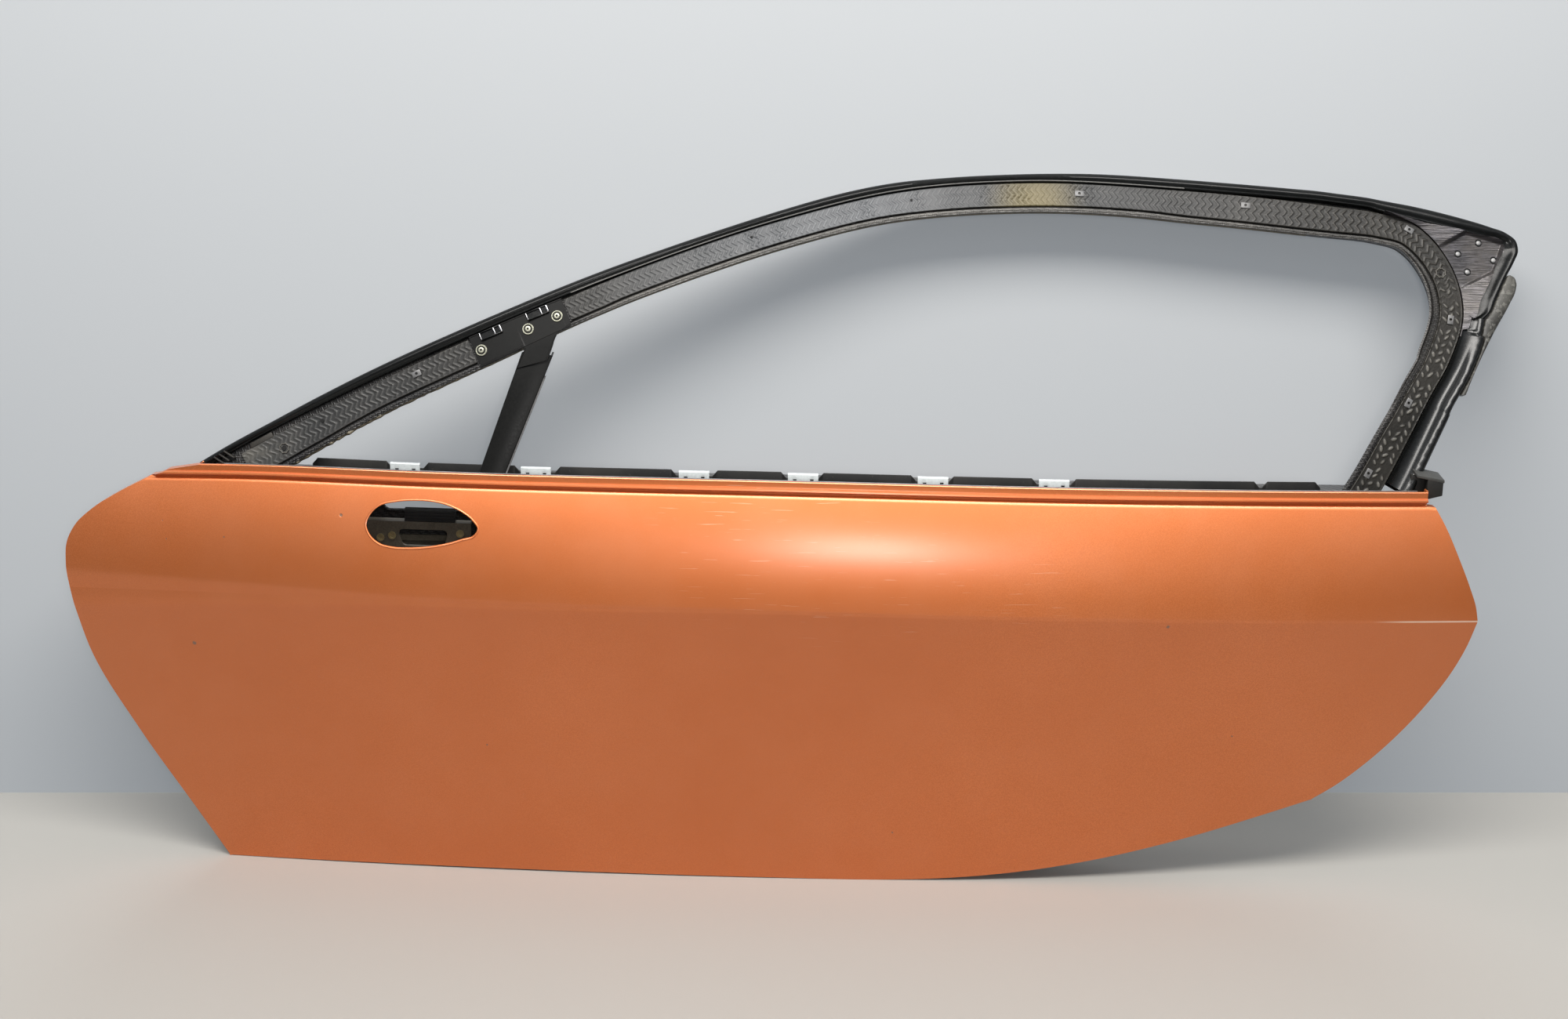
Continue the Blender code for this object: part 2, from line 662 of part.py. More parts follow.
def build_skin():
    """The painted outer panel, its edges hemmed inboard, with the mirror opening."""
    rows = []
    for j in range(LOWER_ROWS):
        v = j / LOWER_ROWS
        rows.append([skin_point(coons(
            EDGES["bottom"], EDGES["crease"], EDGES["front_lower"], EDGES["rear_lower"], i / SKIN_COLUMNS, v,
        )) for i in range(SKIN_COLUMNS + 1)])
    for j in range(UPPER_ROWS + 1):
        v = j / UPPER_ROWS
        rows.append([skin_point(coons(
            EDGES["crease"], EDGES["belt"], EDGES["front_upper"], EDGES["rear_upper"], i / SKIN_COLUMNS, v,
        )) for i in range(SKIN_COLUMNS + 1)])
    rows += belt_rows(SKIN_COLUMNS)
    turned_down = [p + Vector((0, HEM_DEPTH, HEM_TURN)) for p in rows[0]]
    rows.insert(0, turned_down)
    for row in rows:
        row.insert(0, row[0] + Vector((HEM_TURN, HEM_DEPTH, 0)))
        row.append(row[-1] + Vector((-HEM_TURN, HEM_DEPTH, 0)))
    skin = quilt("outer_skin", [rows], SKIN_THICKNESS, COPPER_PAINT)
    centre_x, centre_z = MIRROR_CENTRE_SHARES[0] * SKIN_LENGTH, MIRROR_CENTRE_SHARES[1] * BELT_HEIGHT
    around = [(centre_x + x * MIRROR_LENGTH, centre_z + z * MIRROR_HEIGHT) for x, z in MIRROR_OUTLINE_SHARES]
    depth = skin_y(centre_x, centre_z)
    cut(skin, prism_cutter("mirror_opening", closed_line(around, 40), depth - OVERRUN, depth + OVERRUN))
    return skin


FLANGE_EDGE = 0.0060
FLANGE_WIDTH = 0.0140
WALL_RUN = 0.0120
PANEL_COLUMNS = 22
PANEL_ROWS = 10
PANEL_TOP = 0.0080
PANEL_FRONT_SHARE = 0.90
PANEL_LIP = 0.0100
PANEL_SPLIT_SHARES = (0.340, 0.776)
PANEL_FIELDS = (
    ("panel_front", ("speaker_opening", "cable_hole", "mirror_access")),
    ("inner_panel", ("service_opening",)),
    ("panel_rear", ("rear_access",)),
)
PANEL_FIELD_COLUMNS = (8, 10, 5)


def even(low, high, count):
    return [low + (high - low) * k / count for k in range(count + 1)]


def inset(line, distance):
    """A line moved to its left by a distance."""
    made = []
    for k, point in enumerate(line):
        back = (point - line[max(k - 1, 0)]) if k else line[1] - line[0]
        ahead = (line[min(k + 1, len(line) - 1)] - point) if k < len(line) - 1 else back
        along = (back.normalized() + ahead.normalized()).normalized()
        stretch = max(along.dot(ahead.normalized()), 0.5)
        made.append(point + Vector((-along.y, along.x)) * distance / stretch)
    return made


def build_inner_panel():
    """The carbon fibre inner panel: a rim with a bonding flange, and a face in three pierced fields."""
    front = EDGES["front_lower"] + EDGES["front_upper"][1:]
    front = front[:round(len(front) * PANEL_FRONT_SHARE)]
    rear = EDGES["rear_lower"] + EDGES["rear_upper"][1:-1]
    front, rear = even_line(front, PANEL_ROWS), even_line(rear, PANEL_ROWS)
    edge = front[::-1] + even_line(EDGES["bottom"], PANEL_COLUMNS)[1:] + rear[1:]
    outer, root = inset(edge, FLANGE_EDGE), inset(edge, FLANGE_EDGE + FLANGE_WIDTH)
    brow = inset(edge, FLANGE_EDGE + FLANGE_WIDTH + WALL_RUN)
    lip = inset(edge, FLANGE_EDGE + FLANGE_WIDTH + WALL_RUN + PANEL_LIP)
    inner = inset(edge, FLANGE_EDGE + FLANGE_WIDTH + WALL_RUN + PANEL_LIP + GAP)

    def flange(p):
        return Vector((p.x, skin_y(p.x, p.y) + SKIN_THICKNESS + FLANGE_GAP, p.y))

    def face(p):
        return Vector((p.x, panel_y(p.x), p.y))

    rim = [[flange(p) for p in outer], [flange(p) for p in root], [face(p) for p in brow]]
    quilt("panel_rim", [rim + [[face(p) for p in lip]]], PANEL_THICKNESS, CARBON)
    left, bottom = inner[:PANEL_ROWS + 1][::-1], inner[PANEL_ROWS:PANEL_ROWS + PANEL_COLUMNS + 1]
    right = inner[PANEL_ROWS + PANEL_COLUMNS:]
    start, end = left[-1].x * 2, right[-1].x - WALL_RUN
    belt = [Vector((p.x, p.y - PANEL_TOP)) for p in EDGES["belt"] if start < p.x < end]
    top = even_line([left[-1]] + belt + [right[-1]], PANEL_COLUMNS)
    openings = panel_openings()
    ends = [None] + [share * SKIN_LENGTH for share in PANEL_SPLIT_SHARES] + [None]
    fields = zip(PANEL_FIELDS, ends, ends[1:], PANEL_FIELD_COLUMNS)
    for (name, holes), start, end, columns in fields:
        def line(points):
            low = points[0].x if start is None else start + GAP / 2
            high = points[-1].x if end is None else end - GAP / 2
            table = [(p.x, p.y) for p in points]
            return [Vector((x, level_at(table, x))) for x in even(low, high, columns)]

        low, high = line(bottom), line(top)
        near = left if start is None else even_line([low[0], high[0]], PANEL_ROWS)
        far = right if end is None else even_line([low[-1], high[-1]], PANEL_ROWS)
        rows = [[face(coons(low, high, near, far, i / columns, j / PANEL_ROWS)) for i in range(columns + 1)]
                for j in range(PANEL_ROWS + 1)]
        field = quilt(name, [rows], PANEL_THICKNESS, CARBON)
        for hole in holes:
            cut(field, prism_cutter(hole, openings[hole], 2 * PANEL_DEPTH / 3, 2 * PANEL_DEPTH))


SERVICE_LENGTH = 0.560
SERVICE_HEIGHT = 0.215
SERVICE_CENTRE_SHARES = (0.560, 0.500)
SERVICE_CORNER = 0.045
SPEAKER_RADIUS = 0.062
SPEAKER_CENTRE_SHARES = (0.2000, 0.390)
REAR_ACCESS_LENGTH = 0.160
REAR_ACCESS_HEIGHT = 0.105
REAR_ACCESS_CENTRE_SHARES = (0.855, 0.720)
REAR_ACCESS_CORNER = 0.030
MIRROR_ACCESS_LENGTH = 0.130
MIRROR_ACCESS_HEIGHT = 0.026
MIRROR_ACCESS_CENTRE_SHARES = (0.2690, 0.8790)
MIRROR_ACCESS_CORNER = 0.008
CABLE_HOLE_RADIUS = 0.016
CABLE_HOLE_SHARES = (0.1250, 0.770)


def panel_openings():
    """Outlines of the openings through the inner panel's face, by name."""
    def box(centre, length, height, corner):
        x, z = centre[0] * SKIN_LENGTH, centre[1] * BELT_HEIGHT
        half, tall = length / 2, height / 2
        corners = [(x - half, z - tall), (x + half, z - tall), (x + half, z + tall), (x - half, z + tall)]
        return rounded(corners, corner, 5)

    def ring(centre, radius, steps):
        return circle((centre[0] * SKIN_LENGTH, centre[1] * BELT_HEIGHT), radius, steps)

    return {
        "service_opening": box(SERVICE_CENTRE_SHARES, SERVICE_LENGTH, SERVICE_HEIGHT, SERVICE_CORNER),
        "rear_access": box(
            REAR_ACCESS_CENTRE_SHARES, REAR_ACCESS_LENGTH, REAR_ACCESS_HEIGHT, REAR_ACCESS_CORNER
        ),
        "mirror_access": box(
            MIRROR_ACCESS_CENTRE_SHARES, MIRROR_ACCESS_LENGTH, MIRROR_ACCESS_HEIGHT, MIRROR_ACCESS_CORNER
        ),
        "speaker_opening": ring(SPEAKER_CENTRE_SHARES, SPEAKER_RADIUS, 32),
        "cable_hole": ring(CABLE_HOLE_SHARES, CABLE_HOLE_RADIUS, 16),
    }


FRAME_LINE = stations(frame_points(FRAME_PATH_SHARES), FRAME_STATIONS)


def foot_cutter():
    """Everything below the plane where the window frame's legs stand on the belt beam."""
    steps = [SKIN_LENGTH * k / BELT_STEPS for k in range(-1, BELT_STEPS + 2)]
    line = [(x, level_at(BELT_LINE, x) - FOOT_DROP) for x in steps]
    below = [(steps[-1], BELT_HEIGHT / 2), (steps[0], BELT_HEIGHT / 2)]
    return prism_cutter("foot_line", line + below, -PANEL_DEPTH, 3 * PANEL_DEPTH)


def build_frame_shells(feet):
    """The window frame's outer and inner half shells, bonded together and cut off above the belt beam."""
    def outer(share):
        width = level_at(BAND_REACH, share)
        left = -level_at(SHELL_REACH, share)
        seat, rail_seat = -BAND_THICKNESS - GAP, -RAIL_HEIGHT / 2 - 2 * GAP
        floor = rail_seat - SHELL_WALL
        lip = width + GROOVE_WIDTH
        right = lip + LIP_WIDTH
        return [
            (left, -SHELL_DEPTH), (left, rail_seat), (0.0, rail_seat), (0.0, seat), (width, seat),
            (width, seat - GROOVE_SINK / 2), (lip, seat - GROOVE_SINK / 2), (lip, -SHELL_WALL / 3),
            (lip + SHELL_WALL / 3, 0.0), (right - SHELL_WALL / 3, 0.0), (right, -SHELL_WALL / 3),
            (right, -SHELL_DEPTH),
            (right - SHELL_WALL, -SHELL_DEPTH), (right - SHELL_WALL, floor - SHELL_WALL),
            (left + SHELL_WALL, floor - SHELL_WALL), (left + SHELL_WALL, -SHELL_DEPTH),
        ]

    def inner(share):
        right = level_at(BAND_REACH, share) + GROOVE_WIDTH + LIP_WIDTH
        left, top = -level_at(SHELL_REACH, share), -SHELL_DEPTH - GAP
        foot, back, wall = CLOSURE_FLANGE, CLOSURE_DEPTH - SHELL_DEPTH, SHELL_WALL
        return [
            (left, top), (left + foot, top), (left + 2 * foot, top - back), (right - 2 * foot, top - back),
            (right - foot, top), (right, top), (right, top - wall), (right - foot + wall / 2, top - wall),
            (right - 2 * foot + wall / 2, top - back - wall), (left + 2 * foot - wall / 2, top - back - wall),
            (left + foot - wall / 2, top - wall), (left, top - wall),
        ]

    shares = span(0.0, 1.0)
    for name, profile in (("frame_outer_shell", outer), ("frame_inner_shell", inner)):
        shell = frame_bar(name, shares, profile, CARBON)
        cut(shell, feet)
        facets = shell.modifiers.new("facets", "TRIANGULATE")
        facets.ngon_method = "BEAUTY"


def build_bands(feet):
    """The two ribbed bands that lie in the frame's outside channel."""
    def profile(share):
        width = level_at(BAND_REACH, share) - GAP
        return [
            (0.0, -BAND_THICKNESS), (0.0, -BAND_CHAMFER), (BAND_CHAMFER, 0.0), (width - BAND_CHAMFER, 0.0),
            (width, -BAND_CHAMFER), (width, -BAND_THICKNESS),
        ]

    cut(frame_bar("front_band", span(*FRONT_BAND_SPAN_SHARES), profile, RIBBED), feet)
    cut(frame_bar("rear_band", span(*REAR_BAND_SPAN_SHARES), profile, RIBBED), feet)


def corner_pairs():
    """The roof rail's outer and inner edge round the rear corner, as pairs of points on the window frame."""
    outer, inner = frame_points(CORNER_OUTER_SHARES), frame_points(CORNER_INNER_SHARES)
    pairs = []
    for k in range(len(outer) - 1):
        for step in range(CORNER_STEPS):
            share = step / CORNER_STEPS
            pairs.append((frame_place(hermite(outer, k, share)), frame_place(hermite(inner, k, share))))
    return pairs


CORNER = corner_pairs()


def pillar_sides(share):
    """The outer and inner edge of the rail down the rear of the window, at a share of the frame's path."""
    place = blend(FRAME_LINE, share)
    return place.at(-level_at(PILLAR_REACH, share), 0.0), place.at(-level_at(SHELL_REACH, share) - GAP, 0.0)


def build_roof_rail():
    """The smooth black rail along the roof edge, which leaves the band at the rear corner and rounds it."""
    base, top, step = -RAIL_HEIGHT / 2, RAIL_HEIGHT / 2, RAIL_HEIGHT / 4
    places = [(share, blend(FRAME_LINE, share)) for share in span(*ROOF_RAIL_SPAN_SHARES)]
    sides = [(place.at(-level_at(RAIL_REACH, share), 0.0), place.at(-GAP, 0.0)) for share, place in places]
    end = pillar_sides(PILLAR_SPAN_SHARES[0])

    def profile(width):
        return [
            (0.0, base), (0.0, 0.0), (step / 2, top - step), (2 * step, top), (width - step, top),
            (width, top - step), (width, base),
        ]

    ribbon("roof_rail", sides + CORNER + [end], profile, BLACK_GLOSS)


def build_gusset():
    """The riveted plate that fills the corner between the band and the roof rail."""
    base = -RAIL_HEIGHT / 2 + GAP
    rim = [inner for outer, inner in CORNER[CORNER_STEPS:]]
    low, high = GUSSET_SPAN_SHARES
    sides = []
    for share, inner in zip(even(low, high, len(rim) - 1), rim):
        near = blend(FRAME_LINE, share).at(-GAP, 0.0)
        sides.append((near, inner + (near - inner).normalized() * 2 * GAP))

    def profile(width):
        return [(0.0, base), (0.0, GUSSET_PROUD), (width, GUSSET_PROUD), (width, base)]

    ribbon("corner_gusset", sides, profile, BLACK_GLOSS)
    head = [(0.0, RIVET_HEIGHT), (RIVET_RADIUS * 0.7, RIVET_HEIGHT * 0.8), (RIVET_RADIUS, 0.0), (0.0, 0.0)]
    for k, point in enumerate(frame_points(GUSSET_RIVETS_SHARES)):
        out = frame_normal(point.x, point.y)
        place = facing(frame_place(point) + out * (GUSSET_PROUD + GAP), out)
        turned("gusset_rivet_%d" % (k + 1), head, place, BARE_METAL, 12)


def build_pillar():
    """The rail down the rear of the window and the seal carrier that lies along it."""
    low, high = PILLAR_SPAN_SHARES
    base, top, edge = -SHELL_DEPTH, PILLAR_HEIGHT / 4, PILLAR_HEIGHT / 5
    gap = GAP / SKIN_LENGTH
    sides = [pillar_sides(share) for share in span(low + gap, high)]

    def rail(width):
        brow = top - edge
        return [(0.0, base), (0.0, brow), (edge, top), (width - edge, top), (width, brow), (width, base)]

    ribbon("pillar_rail", sides, rail, BLACK_GLOSS)
    foot, step = -SHELL_DEPTH / 2, SEAL_HEIGHT / 5
    beside = [outer for outer, inner in CORNER[SEAL_START:]]
    beside += [pillar_sides(share)[0] for share in span(low, SEAL_END_SHARE)]
    heights = sorted((p.y, p.x) for p in smooth_line(frame_points(SEAL_EDGE_SHARES), SMOOTH_STEPS))
    sides = []
    for near in beside:
        far = frame_place(Vector((level_at(heights, near.z), near.z)))
        sides.append((far, near + (far - near).normalized() * 2 * GAP))

    def seal(width):
        brow = [(0.0, -2 * step), (step, -step), (width - step, 0.0), (width, -step)]
        return [(0.0, foot)] + brow + [(width, foot)]

    ribbon("rear_seal_carrier", sides, seal, BLACK_MOULDING)


def shell_edge_above(low, high):
    """The lowest place of the frame shell's window edge over a stretch of the post's width."""
    levels = []
    for share in span(*BRACKET_SPAN_SHARES) + span(BRACKET_SPAN_SHARES[1], REAR_BAND_SPAN_SHARES[1] / 2):
        edge = blend(FRAME_LINE, share).at(level_at(BAND_REACH, share) + GROOVE_WIDTH + LIP_WIDTH, -SHELL_DEPTH)
        if low <= edge.x <= high:
            levels.append(edge.z)
    return min(levels)


def build_divider():
    """The T bracket between the bands with its screws and trim clips, and the post that stands under it."""
    base = -BAND_THICKNESS
    foot_low, foot_high = BRACKET_FOOT_SHARES

    def profile(share):
        width = level_at(BAND_REACH, share) - GAP
        foot = BRACKET_FOOT_REACH * BAND_WIDTH if foot_low <= share <= foot_high else width + BAND_CHAMFER
        return [
            (0.0, base), (0.0, BRACKET_PROUD), (width, BRACKET_PROUD), (foot, BRACKET_PROUD), (foot, GAP),
            (width, GAP), (width, base),
        ]

    low, high = BRACKET_SPAN_SHARES
    step = (high - low) / 40
    shares = [low, (low + foot_low) / 2, foot_low - step, foot_low, (foot_low + foot_high) / 2, foot_high]
    frame_bar("divider_bracket", shares + [foot_high + step, high], profile, BLACK_MOULDING)
    head = [
        (0.0, SCREW_HEIGHT), (SCREW_RADIUS * 0.75, SCREW_HEIGHT), (SCREW_RADIUS, SCREW_HEIGHT * 0.6),
        (SCREW_RADIUS, 0.0), (0.0, 0.0),
    ]
    for k, share in enumerate(BRACKET_SCREWS_SHARES):
        place = blend(FRAME_LINE, share).matrix(BRACKET_SCREW_ACROSS * BAND_WIDTH, BRACKET_PROUD + GAP)
        turned("bracket_screw_%d" % (k + 1), head, place, BARE_METAL)
    for k, share in enumerate(TRIM_CLIPS_SHARES):
        size = (TRIM_CLIP_LENGTH, TRIM_CLIP_WIDTH, TRIM_CLIP_HEIGHT)
        place = blend(FRAME_LINE, share).matrix(BAND_WIDTH / 4, BRACKET_PROUD + GAP + TRIM_CLIP_HEIGHT / 2)
        block("trim_clip_%d" % (k + 1), size, place, BARE_METAL, TRIM_CLIP_HEIGHT / 4)
    top, bottom = frame_points((POST_TOP_SHARES, POST_BOTTOM_SHARES))
    bottom_z = level_at(BELT_LINE, bottom.x) - FOOT_DROP
    slope = (top.x - bottom.x) / (top.y - bottom.y)
    top.y = min(top.y, shell_edge_above(top.x - POST_WIDTH_TOP, top.x + POST_WIDTH_TOP) - POST_WALL)
    rings = []
    for k in range(POST_STEPS + 1):
        z = bottom_z + (top.y - bottom_z) * k / POST_STEPS
        x = top.x + (z - top.y) * slope
        half = (POST_WIDTH_BOTTOM + (POST_WIDTH_TOP - POST_WIDTH_BOTTOM) * k / POST_STEPS) / 2
        face, wall, depth = frame_y(x, z) + POST_INSET, POST_WALL, POST_DEPTH
        section = [
            (-half, 0.0), (half, 0.0), (half, depth), (half - wall, depth), (half - wall, wall),
            (wall - half, wall), (wall - half, depth), (-half, depth),
        ]
        rings.append([Vector((x + a, face + b, z)) for a, b in section])
    loft("divider_post", rings, BLACK_MOULDING)


def belt_bar(name, places, section, finish):
    """A bar along the belt. The section gives (inboard, up) points at x, from the plan and the belt line."""
    rings = []
    for x in places:
        rings.append([Vector((x, plan(x) + a, level_at(BELT_LINE, x) + b)) for a, b in section(x)])
    return loft(name, rings, finish)


def build_belt():
    """The belt beam under the frame's feet, the castellated inner flange, its clips and the outer stiffener."""
    low, high = (share * SKIN_LENGTH for share in BELT_BEAM_SPAN_SHARES)
    top = -FOOT_DROP - GAP
    wall = BELT_WALL

    def beam(x):
        near, far, base = BELT_BEAM_SET, panel_y(x) - 2 * GAP - plan(x), top - BELT_BEAM_HEIGHT
        return [
            (near, base), (near, top), (far, top), (far, base), (far - wall, base), (far - wall, top - wall),
            (near + wall, top - wall), (near + wall, base),
        ]

    belt_bar("belt_reinforcement", even(low, high, BELT_STEPS), beam, CARBON)
    foot = top + GAP
    notch, full = foot + INNER_BELT_NOTCH, STRIP_RISE + INNER_BELT_RISE
    heights = []
    for start, end in INNER_BELT_SHARES:
        start, end = start * SKIN_LENGTH, end * SKIN_LENGTH
        heights += [(start - INNER_BELT_CHAMFER, notch), (start, full)]
        steps = max(2, round((end - start) / POST_WIDTH_TOP / 2))
        heights += [(x, full) for x in even(start, end, steps)[1:-1]]
        heights += [(end, full), (end + INNER_BELT_CHAMFER, notch)]
    near, thick = INNER_BELT_SET, INNER_BELT_THICKNESS

    def flange(x):
        height = level_at(heights, x)
        return [
            (near, foot), (near, height), (near + thick, height), (near + thick, foot + thick),
            (near + INNER_BELT_FOOT, foot + thick), (near + INNER_BELT_FOOT, foot),
        ]

    belt_bar("inner_belt", [x for x, height in heights], flange, BLACK_MOULDING)
    inside, outside = GAP, GAP + BELT_CLIP_WALL
    for k, share in enumerate(BELT_CLIP_SHARES):
        def clip(x):
            crown, hem = notch + GAP, notch - BELT_CLIP_HEIGHT + 3 * BELT_CLIP_WALL
            return [
                (near - outside, hem), (near - outside, crown + BELT_CLIP_WALL / 2),
                (near - inside, crown + BELT_CLIP_WALL), (near + thick + inside, crown + BELT_CLIP_WALL),
                (near + thick + outside, crown + BELT_CLIP_WALL / 2), (near + thick + outside, hem),
                (near + thick + inside, hem), (near + thick + inside, crown), (near - inside, crown),
                (near - inside, hem),
            ]

        middle, half = share * SKIN_LENGTH, BELT_CLIP_LENGTH / 2
        belt_bar("belt_clip_%d" % (k + 1), [middle - half, middle, middle + half], clip, BARE_METAL)
    hem_back = BELT_TUCK + STRIP_LEAN + STRIP_THICKNESS + GAP
    low, high = (share * SKIN_LENGTH for share in STIFFENER_SPAN_SHARES)

    def stiffener(x):
        far = hem_back + STIFFENER_THICKNESS
        return [(hem_back, -STIFFENER_DROP), (hem_back, STRIP_RISE), (far, STRIP_RISE), (far, -STIFFENER_DROP)]

    belt_bar("outer_belt_stiffener", even(low, high, BELT_STEPS), stiffener, CAST_METAL)


def build_end_block():
    """The black block that closes the rear end of the belt."""
    low, high = (share * SKIN_LENGTH for share in END_BLOCK_SPAN_SHARES)
    near = BELT_TUCK + STRIP_LEAN + STRIP_THICKNESS + HEM_DEPTH + 2 * GAP
    far, top = near + END_BLOCK_DEPTH, STRIP_RISE
    edge = END_BLOCK_SLOPE / 4

    def section(x):
        fall = END_BLOCK_SLOPE * (x - low) / (high - low)
        base = top - END_BLOCK_HEIGHT
        return [
            (near, base), (near, top - fall - edge), (near + edge, top - fall), (far - edge, top - fall),
            (far, top - fall - edge), (far, base),
        ]

    belt_bar("belt_end_block", [low, (low + high) / 2, high], section, BLACK_MOULDING)


# Crash beam: a straight tube, its ends set in from the body side's plan
BEAM_RADIUS = 0.0160
BEAM_WALL = 0.0025
BEAM_HEIGHT_SHARE = 0.495
BEAM_SPAN_SHARES = (0.069, 0.917)
BEAM_SETS = (0.0221, 0.0362)
BEAM_STEPS = 18
SADDLE_LENGTH = 0.0450
SADDLE_HEIGHT = 0.0620
SADDLE_INSET = 0.0330


def panel_block(name, x_low, x_high, z_low, z_high, far, side, finish):
    """A block on the inner panel, on its inboard face for side 1 and its outboard face for -1, to depth far."""
    rings = []
    for x in even(x_low, x_high, 2):
        near = panel_y(x) + PANEL_THICKNESS + 2 * GAP if side > 0 else panel_y(x) - 2 * GAP
        corners = ((near, z_low), (near, z_high), (far, z_high), (far, z_low))
        rings.append([Vector((x, y, z)) for y, z in corners])
    return loft(name, rings, finish)


def tube_data(name, start, end, radius, wall, steps):
    """A tube between two points: a circle swept along, with an inner wall if one is given."""
    axis = (end - start).normalized()
    side = axis.cross(Vector((0, 0, 1))).normalized()
    rise = side.cross(axis)
    bm = bmesh.new()

    def ring(centre, reach):
        turns = [2 * math.pi * k / steps for k in range(steps)]
        return [bm.verts.new(centre + side * math.cos(a) * reach + rise * math.sin(a) * reach) for a in turns]

    loops = [ring(start, radius), ring(end, radius)]
    if wall:
        loops += [ring(end, radius - wall), ring(start, radius - wall)]
        loops.append(loops[0])
    for first, second in zip(loops, loops[1:]):
        for k in range(steps):
            bm.faces.new((first[k - 1], first[k], second[k], second[k - 1]))
    if not wall:
        bm.faces.new(loops[0])
        bm.faces.new(loops[-1])
    bmesh.ops.recalc_face_normals(bm, faces=bm.faces)
    return mesh_from(bm, name)


def build_crash_beam():
    """The side impact tube, held at each end in a saddle on the inner panel."""
    z = BEAM_HEIGHT_SHARE * BELT_HEIGHT
    places = [share * SKIN_LENGTH for share in BEAM_SPAN_SHARES]
    ends = [Vector((x, plan(x) + inward, z)) for x, inward in zip(places, BEAM_SETS)]
    tube = tube_data("crash_beam", *ends, BEAM_RADIUS, BEAM_WALL, BEAM_STEPS)
    add("crash_beam", tube, BARE_METAL, 35)
    for name, end, inward in (("beam_bracket_front", ends[0], 1), ("beam_bracket_rear", ends[1], -1)):
        middle = end.x + inward * SADDLE_INSET
        half, tall = SADDLE_LENGTH / 2, SADDLE_HEIGHT / 2
        saddle = panel_block(name, middle - half, middle + half, z - tall, z + tall, end.y, -1, CAST_METAL)
        run = (ends[1] - ends[0]).normalized() * SADDLE_LENGTH * 3
        bore = tube_data(name + "_bore", end - run, end + run, BEAM_RADIUS + GAP, 0.0, BEAM_STEPS)
        tool = bpy.data.objects.new(name + "_bore", bore)
        CUTTERS.objects.link(tool)
        cut(saddle, tool)


# Fittings on the inner panel, each by the shares of its middle and its own size
HINGE_CENTRE_SHARES = (0.1000, 0.610)
HINGE_LENGTH = 0.120
HINGE_HEIGHT = 0.095
HINGE_THICKNESS = 0.012
HINGE_HOLE_RADIUS = 0.0045
HINGE_HOLE_LENGTH = 0.090
HINGE_HOLE_HEIGHT = 0.065
LATCH_CENTRE_SHARES = (0.9350, 0.660)
LATCH_LENGTH = 0.052
LATCH_HEIGHT = 0.110
LATCH_THICKNESS = 0.006
LATCH_HOLE_RADIUS = 0.0040
LATCH_HOLE_HEIGHT = 0.080
LATCH_SLOT_LENGTH = 0.022
LATCH_SLOT_HEIGHT = 0.036
STUD_CENTRE_SHARES = (0.0850, 0.385)
STUD_BALL_RADIUS = 0.0065
STUD_SHANK_RADIUS = 0.0045
STUD_BASE_RADIUS = 0.0130
STUD_BASE_HEIGHT = 0.0040
STUD_REACH = 0.0200
STOP_CENTRES_SHARES = ((0.8900, 0.330), (0.2000, 0.125))
STOP_RADIUS = 0.0120
STOP_HEIGHT = 0.0100
GUIDE_FRONT_SHARES = ((0.3040, 0.915), (0.2900, 0.200))
GUIDE_REAR_SHARES = ((0.7750, 0.897), (0.7680, 0.260))
GUIDE_WIDTH = 0.0160
GUIDE_DEPTH = 0.0110
GUIDE_WALL = 0.0016
GUIDE_STEPS = 6
MIRROR_BRACKET_SPAN_SHARES = (0.2100, 0.2925)
MIRROR_BRACKET_LOW_SHARE = 0.770
MIRROR_BRACKET_HIGH_SHARE = 0.858
MIRROR_BRACKET_SET = 0.0300
MIRROR_BRACKET_WALL = 0.0030
MIRROR_WINDOW_LENGTH = 0.0540
MIRROR_WINDOW_HEIGHT = 0.0180
MIRROR_WINDOW_CENTRE_SHARES = (0.2578, 0.8190)
MIRROR_INSERTS_SHARES = ((0.2355, 0.8240), (0.2270, 0.8180), (0.2848, 0.8330))
INSERT_RADIUS = 0.0042
INSERT_HEIGHT = 0.0016
CABLE_RAIL_HEIGHT = 0.0120
CABLE_RAIL_DEPTH = 0.0100
CABLE_RAIL_GROOVE = 0.0012
CABLE_RAIL_OVERHANG = 0.0350


def panel_point(shares, side=1):
    x, z = shares[0] * SKIN_LENGTH, shares[1] * BELT_HEIGHT
    depth = panel_y(x) + PANEL_THICKNESS + 2 * GAP if side > 0 else panel_y(x) - 2 * GAP
    return Vector((x, depth, z))


def panel_normal(x):
    step = SKIN_LENGTH / 1000
    slope = (panel_y(x + step) - panel_y(x - step)) / (2 * step)
    return Vector((-slope, 1.0, 0.0)).normalized()


def hole_cutter(name, x, z, radius, low, high):
    return prism_cutter(name, circle((x, z), radius), low, high)


def hinge_face():
    """Centre of the hinge plate's flat inboard face."""
    x, z = HINGE_CENTRE_SHARES[0] * SKIN_LENGTH, HINGE_CENTRE_SHARES[1] * BELT_HEIGHT
    return Vector((x, panel_y(x - HINGE_LENGTH / 2) + PANEL_THICKNESS + HINGE_THICKNESS, z))


